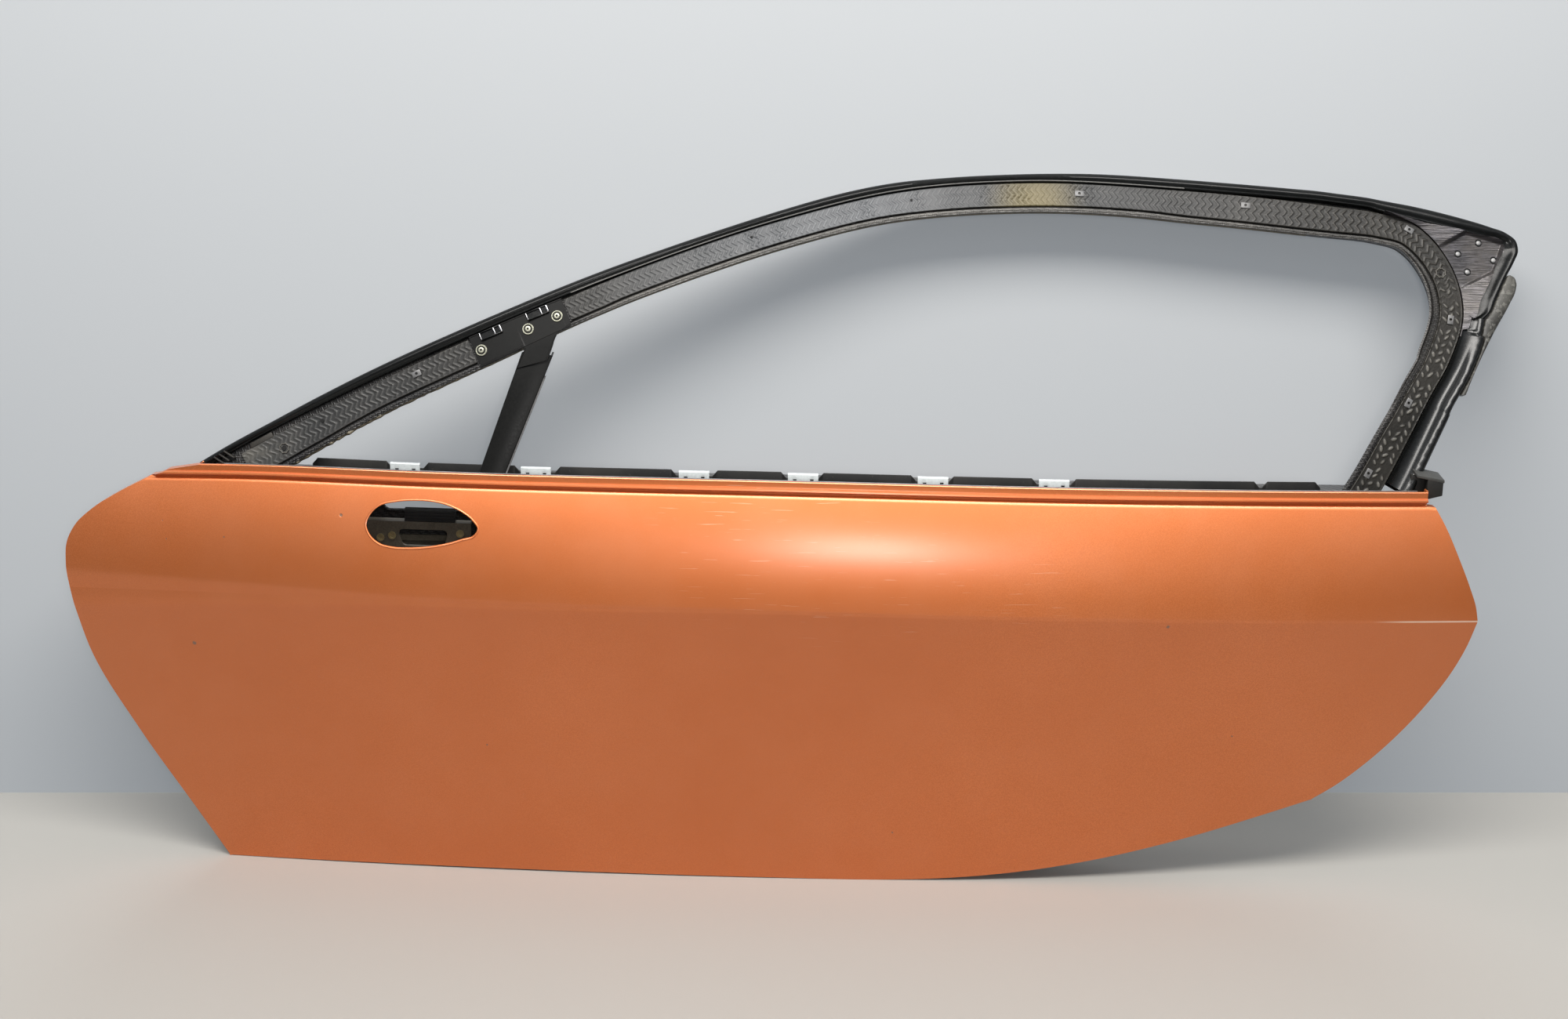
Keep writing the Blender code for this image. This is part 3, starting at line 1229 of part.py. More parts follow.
def build_fittings():
    """Hinge plate, latch plate, strut stud, stops and glass guides on the inner panel."""
    face = hinge_face()
    half, tall = HINGE_LENGTH / 2, HINGE_HEIGHT / 2
    low, high = face.x - half, face.x + half
    hinge = panel_block("hinge_plate", low, high, face.z - tall, face.z + tall, face.y, 1, CAST_METAL)
    for k, (a, b) in enumerate(((-0.5, -0.5), (0.5, -0.5), (-0.5, 0.5), (0.5, 0.5))):
        x, z = face.x + a * HINGE_HOLE_LENGTH, face.z + b * HINGE_HOLE_HEIGHT
        through = face.y - OVERRUN * 2, face.y + OVERRUN
        cut(hinge, hole_cutter("hinge_hole_%d" % (k + 1), x, z, HINGE_HOLE_RADIUS, *through))
    x, z = LATCH_CENTRE_SHARES[0] * SKIN_LENGTH, LATCH_CENTRE_SHARES[1] * BELT_HEIGHT
    half, tall = LATCH_LENGTH / 2, LATCH_HEIGHT / 2
    far = panel_y(x + half) + PANEL_THICKNESS + LATCH_THICKNESS
    latch = panel_block("latch_plate", x - half, x + half, z - tall, z + tall, far, 1, BARE_METAL)
    through = far - OVERRUN, far + OVERRUN
    for k, b in enumerate((-0.5, 0.5)):
        height = z + b * LATCH_HOLE_HEIGHT
        cut(latch, hole_cutter("latch_hole_%d" % (k + 1), x, height, LATCH_HOLE_RADIUS, *through))
    half, tall = LATCH_SLOT_LENGTH / 2, LATCH_SLOT_HEIGHT / 2
    corners = [(x - half, z - tall), (x + half, z - tall), (x + half, z + tall), (x - half, z + tall)]
    cut(latch, prism_cutter("latch_slot", rounded(corners, LATCH_HOLE_RADIUS), *through))
    stud = [(0.0, STUD_REACH)]
    for k in range(1, 6):
        turn = math.pi * 0.78 * k / 5
        height = STUD_REACH - STUD_BALL_RADIUS * (1 - math.cos(turn))
        stud.append((STUD_BALL_RADIUS * math.sin(turn), height))
    stud += [(STUD_SHANK_RADIUS, STUD_BASE_HEIGHT), (STUD_BASE_RADIUS, STUD_BASE_HEIGHT)]
    stud += [(STUD_BASE_RADIUS, 0.0), (0.0, 0.0)]
    place = panel_point(STUD_CENTRE_SHARES)
    turned("strut_stud", stud, facing(place, panel_normal(place.x)), BARE_METAL)
    stop = [
        (0.0, STOP_HEIGHT), (STOP_RADIUS * 0.7, STOP_HEIGHT), (STOP_RADIUS, STOP_HEIGHT * 0.6), (STOP_RADIUS, 0.0),
        (0.0, 0.0),
    ]
    for k, shares in enumerate(STOP_CENTRES_SHARES):
        place = panel_point(shares)
        turned("door_stop_%d" % (k + 1), stop, facing(place, panel_normal(place.x)), RUBBER)
    guides = (("glass_guide_front", GUIDE_FRONT_SHARES), ("glass_guide_rear", GUIDE_REAR_SHARES))
    for name, (top, low) in guides:
        rings = []
        for k in range(GUIDE_STEPS + 1):
            share = k / GUIDE_STEPS
            x = (low[0] + (top[0] - low[0]) * share) * SKIN_LENGTH
            z = (low[1] + (top[1] - low[1]) * share) * BELT_HEIGHT
            half, wall, depth = GUIDE_WIDTH / 2, GUIDE_WALL, GUIDE_DEPTH
            section = [
                (-half, 0.0), (-half, depth), (wall - half, depth), (wall - half, wall), (half - wall, wall),
                (half - wall, depth), (half, depth), (half, 0.0),
            ]
            rings.append([Vector((x + a, panel_y(x + a) - 2 * GAP - b, z)) for a, b in section])
        loft(name, rings, BARE_METAL)


def build_mirror_mount():
    """The bracket behind the mirror opening with its inserts, and the grooved rail that crosses above it."""
    low, high = (share * SKIN_LENGTH for share in MIRROR_BRACKET_SPAN_SHARES)
    base, top = MIRROR_BRACKET_LOW_SHARE * BELT_HEIGHT, MIRROR_BRACKET_HIGH_SHARE * BELT_HEIGHT
    wall = MIRROR_BRACKET_WALL
    rings = []
    for x in even(low, high, 4):
        near, far = plan(x) + MIRROR_BRACKET_SET, panel_y(x) - 2 * GAP
        section = [
            (far, base), (near, base), (near, top), (near + CABLE_RAIL_DEPTH, top),
            (near + CABLE_RAIL_DEPTH, top - wall), (near + wall, top - wall), (near + wall, base + wall),
            (far - wall, base + wall), (far - wall, base + 3 * wall),
            (far, base + 3 * wall),
        ]
        rings.append([Vector((x, a, b)) for a, b in section])
    bracket = loft("mirror_bracket", rings, CAST_METAL)
    x, z = MIRROR_WINDOW_CENTRE_SHARES[0] * SKIN_LENGTH, MIRROR_WINDOW_CENTRE_SHARES[1] * BELT_HEIGHT
    half, tall = MIRROR_WINDOW_LENGTH / 2, MIRROR_WINDOW_HEIGHT / 2
    low, high, foot = z - tall, z + tall, half * 0.8
    corners = [(x - foot, low), (x + foot, low), (x + half, high), (x - half, high)]
    depth = plan(x) + MIRROR_BRACKET_SET
    through = depth - OVERRUN / 2, depth + OVERRUN / 2
    cut(bracket, prism_cutter("mirror_window", rounded(corners, tall / 2), *through))
    shank = INSERT_RADIUS / 2
    head = [(0.0, INSERT_HEIGHT / 2), (shank, INSERT_HEIGHT / 2), (shank * 1.2, INSERT_HEIGHT)]
    head += [(INSERT_RADIUS, INSERT_HEIGHT), (INSERT_RADIUS, 0.0), (0.0, 0.0)]
    for k, (x, z) in enumerate(MIRROR_INSERTS_SHARES):
        x, z = x * SKIN_LENGTH, z * BELT_HEIGHT
        step = SKIN_LENGTH / 1000
        out = Vector(((plan(x + step) - plan(x - step)) / (2 * step), -1.0, 0.0)).normalized()
        place = Vector((x, plan(x) + MIRROR_BRACKET_SET, z)) + out * 2 * GAP
        turned("mirror_insert_%d" % (k + 1), head, facing(place, out), BARE_METAL, 12)
    rings = []
    for x in even(low, high + CABLE_RAIL_OVERHANG, 4):
        near = plan(x) + MIRROR_BRACKET_SET
        tall, groove = CABLE_RAIL_HEIGHT, CABLE_RAIL_GROOVE
        front = [(groove if k % 2 else 0.0, tall * (k + half) / 7) for k in range(7) for half in (0.0, 1.0)]
        section = front + [(CABLE_RAIL_DEPTH, tall), (CABLE_RAIL_DEPTH, 0.0)]
        rings.append([Vector((x, near + a, top + 2 * GAP + b)) for a, b in section])
    loft("cable_rail", rings, BLACK_MOULDING)


build_skin()
build_inner_panel()
FEET = foot_cutter()
build_frame_shells(FEET)
build_bands(FEET)
build_roof_rail()
build_gusset()
build_pillar()
build_divider()
build_belt()
build_end_block()
build_crash_beam()
build_fittings()
build_mirror_mount()
DOOR.location = -hinge_face()
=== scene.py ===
import math

import bmesh
import bpy
import numpy as np
from mathutils import Matrix, Vector


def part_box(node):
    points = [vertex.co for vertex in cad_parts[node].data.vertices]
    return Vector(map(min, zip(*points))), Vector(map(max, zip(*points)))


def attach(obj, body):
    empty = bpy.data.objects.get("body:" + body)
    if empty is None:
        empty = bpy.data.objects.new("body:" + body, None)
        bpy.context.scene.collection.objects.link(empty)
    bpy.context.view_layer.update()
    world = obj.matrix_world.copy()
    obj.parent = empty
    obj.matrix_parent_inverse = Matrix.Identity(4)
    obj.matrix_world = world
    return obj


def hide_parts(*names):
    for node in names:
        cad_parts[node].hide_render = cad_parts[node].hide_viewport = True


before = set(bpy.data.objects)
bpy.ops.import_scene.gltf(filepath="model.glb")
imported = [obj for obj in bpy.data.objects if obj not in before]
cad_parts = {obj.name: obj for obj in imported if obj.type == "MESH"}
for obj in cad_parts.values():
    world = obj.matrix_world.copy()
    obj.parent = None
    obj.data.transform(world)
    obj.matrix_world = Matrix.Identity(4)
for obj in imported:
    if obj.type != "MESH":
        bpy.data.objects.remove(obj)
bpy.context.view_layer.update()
bpy.ops.object.select_all(action="DESELECT")


# The studio: a warm pale floor that the door stands on, a pale wall close behind it, and soft lights.
# The camera looks down on the door from in front through a 54 mm lens.
# Every piece is laid out from the door's front tip and bottom edge, and then moved by its origin.
door_origin = Vector((0.145, 0.140054, 0.271145))
floor_level = -door_origin.z
stage_middle, stage_width, wall_height, wall_depth = 0.6, 12.0, 4.0, 0.205

bpy.ops.object.camera_add(location=Vector((0.747, -2.232, 1.192)) - door_origin, rotation=(math.radians(70.8), 0, 0))
camera = bpy.context.object
camera.data.lens = 54.0
camera.data.sensor_width = 36.0
camera.data.clip_end = 60.0
bpy.context.scene.camera = camera


def stage_paint(name, colour, roughness):
    made = bpy.data.materials.new(name)
    made.use_nodes = True
    shader = made.node_tree.nodes["Principled BSDF"]
    shader.inputs["Base Color"].default_value = (*colour, 1.0)
    shader.inputs["Roughness"].default_value = roughness
    return made


bpy.ops.mesh.primitive_plane_add(size=1.0)
floor = bpy.context.object
floor.name = "floor"
floor.scale = (stage_width, 6.0, 1.0)
floor.location = (stage_middle, -2.0, floor_level - 0.0005)
bpy.ops.object.transform_apply(location=True, scale=True)
floor.data.materials.append(stage_paint("floor_paint", (0.385, 0.372, 0.345), 0.75))
floor.visible_diffuse = False

# The wall shows only its front, so that the door's inside can be looked at through it.
wall_paint = stage_paint("wall_paint", (0.465, 0.478, 0.487), 0.7)
wall_tree = wall_paint.node_tree
painted = wall_tree.nodes["Principled BSDF"]
painted.inputs["Emission Color"].default_value = (0.74, 0.82, 0.90, 1.0)
painted.inputs["Emission Strength"].default_value = 0.17
clear = wall_tree.nodes.new("ShaderNodeBsdfTransparent")
choose = wall_tree.nodes.new("ShaderNodeMixShader")
side = wall_tree.nodes.new("ShaderNodeNewGeometry")
wall_tree.links.new(side.outputs["Backfacing"], choose.inputs[0])
wall_tree.links.new(painted.outputs[0], choose.inputs[1])
wall_tree.links.new(clear.outputs[0], choose.inputs[2])
wall_tree.links.new(choose.outputs[0], wall_tree.nodes["Material Output"].inputs["Surface"])
bpy.ops.mesh.primitive_plane_add(size=1.0, rotation=(math.radians(90), 0, 0))
wall = bpy.context.object
wall.name = "wall"
wall.scale = (stage_width, wall_height, 1.0)
wall.location = (stage_middle, wall_depth - door_origin.y, floor_level + wall_height / 2)
bpy.ops.object.transform_apply(location=True, rotation=True, scale=True)
wall.data.materials.append(wall_paint)
wall.visible_shadow = False

# The world is brighter towards its top, so that upper faces catch a soft light.
world = bpy.data.worlds.new("studio")
world.use_nodes = True
sky = world.node_tree
sky.nodes["Background"].inputs["Color"].default_value = (0.86, 0.92, 1.0, 1.0)
aim = sky.nodes.new("ShaderNodeTexCoord")
apart = sky.nodes.new("ShaderNodeSeparateXYZ")
strength = sky.nodes.new("ShaderNodeMapRange")
strength.interpolation_type = "SMOOTHSTEP"
for place, value in ((1, -0.1), (2, 0.9), (3, 0.05), (4, 0.60)):
    strength.inputs[place].default_value = value
sky.links.new(aim.outputs["Generated"], apart.inputs[0])
sky.links.new(apart.outputs[2], strength.inputs[0])
sky.links.new(strength.outputs[0], sky.nodes["Background"].inputs["Strength"])
bpy.context.scene.world = world
bpy.context.scene.view_settings.view_transform = "Standard"


def soft_lamp(name, place, target, width, height, power, colour):
    bpy.ops.object.light_add(type="AREA", location=place)
    lamp = bpy.context.object
    lamp.name = name
    lamp.data.shape = "ELLIPSE"
    lamp.data.size = width
    lamp.data.size_y = height
    lamp.data.energy = power
    lamp.data.color = colour
    lamp.rotation_euler = (Vector(target) - Vector(place)).to_track_quat("-Z", "Y").to_euler()


soft_lamp("lamp_above", (0.6, -1.30, 2.35), (0.6, 0.0, 0.1), 3.2, 0.9, 93.0, (1.0, 0.97, 0.93))
soft_lamp("lamp_camera", (0.68, -2.6, 1.0), (0.7, 0.0, 0.1), 0.30, 0.30, 12.0, (1.0, 0.98, 0.96))
soft_lamp("lamp_behind", (0.6, 2.4, 1.6), (0.6, 0.0, 0.1), 2.4, 1.4, 34.0, (0.95, 0.97, 1.0))


# The outer skin: one pressed aluminium sheet, hemmed round its edge and rolled at the belt into a groove, a bead
# and a flat strip. It carries copper metallic paint under clear coat, with the chips and scratches of a used door.
skin_length, belt_height, frame_rise = 1.450, 0.4445, 0.278
skin_sheet, hem_depth, hem_turn = 0.0012, 0.008, 0.0012
plan_middle, plan_radius = 0.9976, 6.2
crease_bulge, belt_fall = 0.035, 0.037


def curve(points, steps=16):
    """A smooth curve through the points, with steps places from each point to the next."""
    points = [Vector(p) for p in points]
    last = len(points) - 1
    slopes = []
    for k in range(last + 1):
        if 0 < k < last:
            before, after = points[k] - points[k - 1], points[k + 1] - points[k]
            first, second = before.length, after.length
            slopes.append((before / first * second + after / second * first) / (first + second))
        else:
            slopes.append((points[1] - points[0] if k == 0 else points[last] - points[last - 1]).normalized())
    dense = []
    for k in range(last):
        gap = (points[k + 1] - points[k]).length
        for step in range(steps):
            t = step / steps
            dense.append(points[k] * (2 * t ** 3 - 3 * t * t + 1) + slopes[k] * gap * (t ** 3 - 2 * t * t + t)
                         + points[k + 1] * (3 * t * t - 2 * t ** 3) + slopes[k + 1] * gap * (t ** 3 - t * t))
    dense.append(points[last])
    return dense


def even_line(dense, count):
    """count + 1 evenly spaced points along a polyline."""
    runs = [0.0]
    for first, second in zip(dense, dense[1:]):
        runs.append(runs[-1] + (second - first).length)
    made, k = [], 0
    for step in range(count + 1):
        wanted = runs[-1] * step / count
        while k < len(dense) - 2 and runs[k + 1] < wanted:
            k += 1
        made.append(dense[k].lerp(dense[k + 1], min((wanted - runs[k]) / max(runs[k + 1] - runs[k], 1e-12), 1.0)))
    return made


def smooth_line(points, count):
    """count + 1 evenly spaced points on a smooth curve through the points."""
    return even_line(curve(points), count)


def outline(shares, count=240):
    return smooth_line([(x * skin_length, z * belt_height) for x, z in shares], count)


front_lower = outline(((0.1013, 0.0), (0.0791, 0.119), (0.0414, 0.331), (0.0146, 0.525), (0.0046, 0.708)))
front_upper = outline(((0.0046, 0.708), (0.0035, 0.770), (0.0046, 0.815), (0.0108, 0.854), (0.0229, 0.890),
                       (0.0405, 0.925), (0.0619, 0.960)))
bottom_edge = outline(((0.1013, 0.0), (0.300, 0.003), (0.500, 0.001), (0.590, 0.0), (0.626, 0.004), (0.687, 0.023),
                       (0.744, 0.056), (0.800, 0.103), (0.865, 0.172), (0.8966, 0.208)))
rear_lower = outline(((0.8966, 0.208), (0.9123, 0.242), (0.9329, 0.300), (0.9532, 0.372), (0.9727, 0.460),
                      (0.9862, 0.540), (0.9945, 0.614), (0.9989, 0.6815)))
rear_upper = outline(((0.9989, 0.6815), (0.9970, 0.716), (0.9925, 0.758), (0.9851, 0.818), (0.9740, 0.899),
                      (0.9686, 0.930)))
crease_edge = outline(((0.0046, 0.708), (0.120, 0.716), (0.350, 0.7135), (0.515, 0.7125), (0.651, 0.704),
                       (0.787, 0.695), (0.9989, 0.6815)))
belt_edge = outline(((0.0619, 0.960), (0.128, 0.967), (0.274, 0.965), (0.515, 0.9615), (0.732, 0.947), (0.9686, 0.930)))


def crease_at(x):
    return np.interp(x, [p.x for p in crease_edge], [p.y for p in crease_edge])


def belt_at(x):
    return np.interp(x, [p.x for p in belt_edge], [p.y for p in belt_edge])


def plan(x):
    """How far the body side turns inboard at x."""
    return ((x - plan_middle) ** 2 - 0.062901) / (2 * plan_radius)


def pressed(x, z, crease, belt):
    """The skin before its crease is rounded: it bulges out up to the crease and falls back up to the belt."""
    low = plan(x) - crease_bulge * np.clip(z / crease, 0.0, 1.0) ** 2.2
    share = np.clip((z - crease) / (belt - crease), 0.0, 1.0)
    return np.where(z < crease, low, plan(x) - crease_bulge + belt_fall * (0.4 * share + 0.6 * share * share))


def skin_y(x, z):
    """The pressed surface, its crease rounded: soft at the front of the door and crisp at the rear."""
    x, z = np.asarray(x, dtype=float), np.asarray(z, dtype=float)
    crease, belt = crease_at(x), belt_at(x)
    radius = np.interp(x, (0.0, 0.15, 0.35, 0.75, 1.45), (0.045, 0.030, 0.012, 0.0045, 0.0025))
    blur = radius * np.clip(1 - np.abs(z - crease) / radius, 0.0, 1.0)
    return sum(pressed(x, z + blur * t, crease, belt) for t in (-0.9, -0.6, -0.3, 0.0, 0.3, 0.6, 0.9)) / 7


def patch(bottom, top, left, right, columns, shares):
    """Rows of (x, z) points inside four outlines that meet at their corners."""
    def on(line, share):
        line = np.array(line)
        places = np.asarray(share) * (len(line) - 1)
        low = np.minimum(places.astype(int), len(line) - 2)
        part = (places - low)[..., None]
        return line[low] * (1 - part) + line[low + 1] * part

    u = np.linspace(0, 1, columns + 1)[None, :, None]
    v = np.asarray(shares)[:, None, None]
    corner = [np.array(p) for p in (bottom[0], bottom[-1], top[0], top[-1])]
    ruled = (on(bottom, u[0, :, 0])[None] * (1 - v) + on(top, u[0, :, 0])[None] * v
             + on(left, v[:, 0, 0])[:, None] * (1 - u) + on(right, v[:, 0, 0])[:, None] * u)
    return ruled - (corner[0] * (1 - u) * (1 - v) + corner[1] * u * (1 - v)
                    + corner[2] * (1 - u) * v + corner[3] * u * v)


def sheet(name, rows):
    """A grid primitive whose points are moved to the rows of places."""
    rows = np.asarray(rows, dtype=float)
    lines, columns = rows.shape[0] - 1, rows.shape[1] - 1
    bpy.ops.mesh.primitive_grid_add(x_subdivisions=columns, y_subdivisions=lines, size=2.0)
    piece = bpy.context.object
    piece.name = name
    flat = np.empty(len(piece.data.vertices) * 3)
    piece.data.vertices.foreach_get("co", flat)
    flat = flat.reshape(-1, 3)
    i = np.rint((flat[:, 0] + 1) / 2 * columns).astype(int)
    j = np.rint((flat[:, 1] + 1) / 2 * lines).astype(int)
    piece.data.vertices.foreach_set("co", (rows[j, i] - np.array(door_origin)).ravel())
    piece.data.update()
    return piece


def apply_modifiers(piece):
    bpy.context.view_layer.objects.active = piece
    for modifier in list(piece.modifiers):
        bpy.ops.object.modifier_apply(modifier=modifier.name)


def thicken(piece, thickness, even=True):
    wall = piece.modifiers.new("thickness", "SOLIDIFY")
    wall.thickness = thickness
    wall.offset = -1.0
    wall.use_even_offset = even
    apply_modifiers(piece)


def cut_out(piece, cutter):
    """Cuts a closed cutter out of a piece and removes the cutter."""
    tool = piece.modifiers.new("cut", "BOOLEAN")
    tool.operation = "DIFFERENCE"
    tool.object = cutter
    apply_modifiers(piece)
    bpy.data.objects.remove(cutter)


def shade(piece, angle=30):
    bpy.ops.object.select_all(action="DESELECT")
    piece.select_set(True)
    bpy.context.view_layer.objects.active = piece
    bpy.ops.object.shade_smooth_by_angle(angle=math.radians(angle))
    piece.select_set(False)


def surface(piece, material, angle=30):
    """Gives a finished piece its one material, and smooth shading over edges blunter than the angle."""
    piece.data.materials.clear()
    piece.data.materials.append(material)
    shade(piece, angle)


def from_faces(name, built):
    """An object made of the faces built, turned outwards."""
    bmesh.ops.recalc_face_normals(built, faces=built.faces)
    mesh = bpy.data.meshes.new(name)
    built.to_mesh(mesh)
    built.free()
    piece = bpy.data.objects.new(name, mesh)
    bpy.context.scene.collection.objects.link(piece)
    return piece


def prism(points, low, high):
    """A closed cutter: an (x, z) outline that runs through the door from depth low to depth high."""
    bm = bmesh.new()
    face = bm.faces.new([bm.verts.new(Vector((x, low, z)) - door_origin) for x, z in points])
    moved = bmesh.ops.extrude_face_region(bm, geom=[face])["geom"]
    bmesh.ops.translate(bm, vec=(0, high - low, 0), verts=[v for v in moved if isinstance(v, bmesh.types.BMVert)])
    return from_faces("cutter", bm)


skin_columns = 260
lower = patch(bottom_edge, crease_edge, front_lower, rear_lower, skin_columns, 1 - (1 - np.arange(72) / 72) ** 1.5)
upper = patch(crease_edge, belt_edge, front_upper, rear_upper, skin_columns, (np.arange(47) / 46) ** 1.4)
face = np.concatenate([lower, upper])
face = np.stack([face[..., 0], skin_y(face[..., 0], face[..., 1]), face[..., 1]], axis=-1)
belt_roll = (
    (0.0010, 0.0006, 0.092), (0.0024, 0.0016, 0.094), (0.0030, 0.0028, 0.096), (0.0022, 0.0038, 0.098),
    (0.0000, 0.0044, 0.100), (-0.0018, 0.0052, 0.102), (-0.0026, 0.0064, 0.106), (-0.0021, 0.0077, 0.110),
    (-0.0006, 0.0086, 0.112), (0.0007, 0.0091, 0.113), (0.0010, 0.0100, 0.116), (0.0013, 0.0147, 0.147),
    (0.0018, 0.0153, 0.149), (0.0030, 0.0155, 0.150), (0.0044, 0.0152, 0.150), (0.0048, 0.0140, 0.150),
    (0.0049, 0.0060, 0.150),
)
roll = []
for inboard, up, start in belt_roll:
    x = np.linspace(start, 1.396, skin_columns + 1)
    roll.append(np.stack([x, plan(x) + 0.002 + inboard, belt_at(x) + up], axis=-1))
rows = np.concatenate([face, np.array(roll)])
hem = [rows[0] + np.array((0, deep, turn)) for deep, turn in ((hem_depth, hem_turn), (0.0014, 0.0003), (0.0004, 0.0))]
rows = np.concatenate([[hem[0]], [hem[1]], [hem[2]], rows])
ends = [(hem_turn, hem_depth), (0.0003, 0.0014), (0.0, 0.0004)]
left = np.stack([rows[:, 0] + np.array((turn, deep, 0)) for turn, deep in ends], axis=1)
right = np.stack([rows[:, -1] + np.array((-turn, deep, 0)) for turn, deep in ends[::-1]], axis=1)
outer_skin = sheet("skin", np.concatenate([left, rows, right], axis=1))
thicken(outer_skin, skin_sheet, even=False)

# The mirror opening: a rounded hole whose edge is drawn up into a fine rim.
mirror_shares = ((-0.50, -0.04), (-0.46, 0.20), (-0.387, 0.361), (-0.237, 0.462), (-0.058, 0.50), (0.083, 0.491),
                 (0.225, 0.424), (0.358, 0.289), (0.452, 0.123), (0.50, -0.056), (0.462, -0.204), (0.369, -0.278),
                 (0.257, -0.366), (0.088, -0.455), (-0.10, -0.50), (-0.27, -0.495), (-0.383, -0.426), (-0.459, -0.278))
mirror_middle = (0.2623 * skin_length, 0.8875 * belt_height)
mirror_length, mirror_height = 0.1146, 0.0446
around = [Vector((mirror_middle[0] + x * mirror_length, mirror_middle[1] + z * mirror_height))
          for x, z in mirror_shares]
mirror_edge = smooth_line(around[-3:] + around + around[:4], 240)
first = min(range(60), key=lambda k: (mirror_edge[k] - around[0]).length)
last = max(range(180, 241), key=lambda k: -(mirror_edge[k] - around[0]).length)
mirror_edge = even_line(mirror_edge[first:last] + [mirror_edge[first]], 120)[:-1]
depth = float(skin_y(*mirror_middle))
cut_out(outer_skin, prism(mirror_edge, depth - 0.02, depth + 0.02))


def ring_loft(name, rings, round_trip=False):
    """A solid through rings of points, its ends filled, or joined end to end on a round trip."""
    bm = bmesh.new()
    made = [[bm.verts.new(Vector(p) - door_origin) for p in ring] for ring in rings]
    for first, second in zip(made, made[1:] + ([made[0]] if round_trip else [])):
        for k in range(len(first)):
            bm.faces.new((first[k - 1], first[k], second[k], second[k - 1]))
    if not round_trip:
        bm.faces.new(made[0])
        bm.faces.new(made[-1])
    return from_faces(name, bm)


def join(pieces):
    bpy.ops.object.select_all(action="DESELECT")
    for piece in pieces:
        piece.select_set(True)
    bpy.context.view_layer.objects.active = pieces[0]
    bpy.ops.object.join()
    pieces[0].select_set(False)
    return pieces[0]


def rim(name, points, side, away, wide, deep, sides, depth_at):
    """A rounded bead along an opening, away from its edge on one side of the line, at a depth for each x and z."""
    rings = []
    for k, p in enumerate(points):
        way = (points[(k + 1) % len(points)] - points[k - 1]).normalized()
        turns = [2 * math.pi * turn / sides for turn in range(sides)]
        places = [p + Vector((-way.y, way.x)) * side * (away + wide * math.cos(a)) for a in turns]
        rings.append([(at.x, depth_at(at.x, at.y) + deep * math.sin(a), at.y) for at, a in zip(places, turns)])
    return ring_loft(name, rings, round_trip=True)


mirror_rim = rim("mirror_rim", mirror_edge, 1, 0.0006, 0.0011, -0.0009, 8, lambda x, z: float(skin_y(x, z)) + 0.0001)
outer_skin = join([outer_skin, mirror_rim])


def node(tree, kind, given=None, **settings):
    """A shader node with its own choices set and its inputs given, each linked if it is a socket."""
    made = tree.nodes.new("ShaderNode" + kind)
    for label, value in settings.items():
        setattr(made, label, value)
    for place, value in (given or {}).items():
        if isinstance(value, bpy.types.NodeSocket):
            tree.links.new(value, made.inputs[place])
        else:
            made.inputs[place].default_value = value
    return made


def math_node(tree, operation, *values):
    return node(tree, "Math", dict(enumerate(values)), operation=operation).outputs[0]


def times(tree, first, second):
    return math_node(tree, "MULTIPLY", first, second)


def fade(tree, value, low, high, to_low=0.0, to_high=1.0):
    """Smooth step of a value between two levels."""
    given = {"Value": value, "From Min": low, "From Max": high, "To Min": to_low, "To Max": to_high}
    return node(tree, "MapRange", given, interpolation_type="SMOOTHSTEP").outputs[0]


def mix_colour(tree, share, first, second, blend="MIX"):
    return node(tree, "Mix", {0: share, 6: first, 7: second}, data_type="RGBA", blend_type=blend).outputs[2]


def noise(tree, vector, scale, detail=4.0, rough=0.55):
    given = {"Vector": vector, "Scale": scale, "Detail": detail, "Roughness": rough}
    return node(tree, "TexNoise", given).outputs[0]


def new_group(name, inputs, outputs):
    tree = bpy.data.node_groups.new(name, "ShaderNodeTree")
    for label, value in inputs:
        kind = "NodeSocketColor" if isinstance(value, tuple) else "NodeSocketFloat"
        tree.interface.new_socket(label, in_out="INPUT", socket_type=kind).default_value = value
    for label, kind in outputs:
        tree.interface.new_socket(label, in_out="OUTPUT", socket_type=kind)
    return tree, tree.nodes.new("NodeGroupInput").outputs, tree.nodes.new("NodeGroupOutput").inputs


# Dust and grain: every surface of the used door has some unevenness, and dust that has settled on what faces up.
dust_group, given, put = new_group(
    "dust_and_grain",
    [("Colour", (0.5, 0.5, 0.5, 1.0)), ("Dust Colour", (0.30, 0.27, 0.23, 1.0)), ("Dust", 0.3), ("Grain Scale", 400.0),
     ("Unevenness", 0.15)],
    [("Colour", "NodeSocketColor"), ("Dust", "NodeSocketFloat"), ("Height", "NodeSocketFloat")],
)
place = node(dust_group, "TexCoord").outputs["Object"]
broad = noise(dust_group, place, 11.0, 6.0, 0.62)
fine = noise(dust_group, place, given["Grain Scale"], 3.0)
upward = node(dust_group, "SeparateXYZ", {0: node(dust_group, "NewGeometry").outputs["Normal"]}).outputs[2]
settled = times(dust_group, fade(dust_group, broad, 0.36, 0.72), given["Dust"])
settled = times(dust_group, settled, fade(dust_group, upward, -0.6, 0.9, 0.25, 1.0))
spots = fade(dust_group, noise(dust_group, place, 420.0, 2.0, 0.5), 0.66, 0.74)
settled = math_node(dust_group, "MAXIMUM", settled, times(dust_group, spots, given["Dust"]))
low = math_node(dust_group, "SUBTRACT", 1.0, given["Unevenness"])
high = math_node(dust_group, "ADD", 1.0, given["Unevenness"])
tone = fade(dust_group, math_node(dust_group, "ADD", times(dust_group, fine, 0.5),
                                  times(dust_group, broad, 0.5)), 0.3, 0.7, low, high)
toned = node(dust_group, "VectorMath", {0: given["Colour"], "Scale": tone}, operation="SCALE").outputs[0]
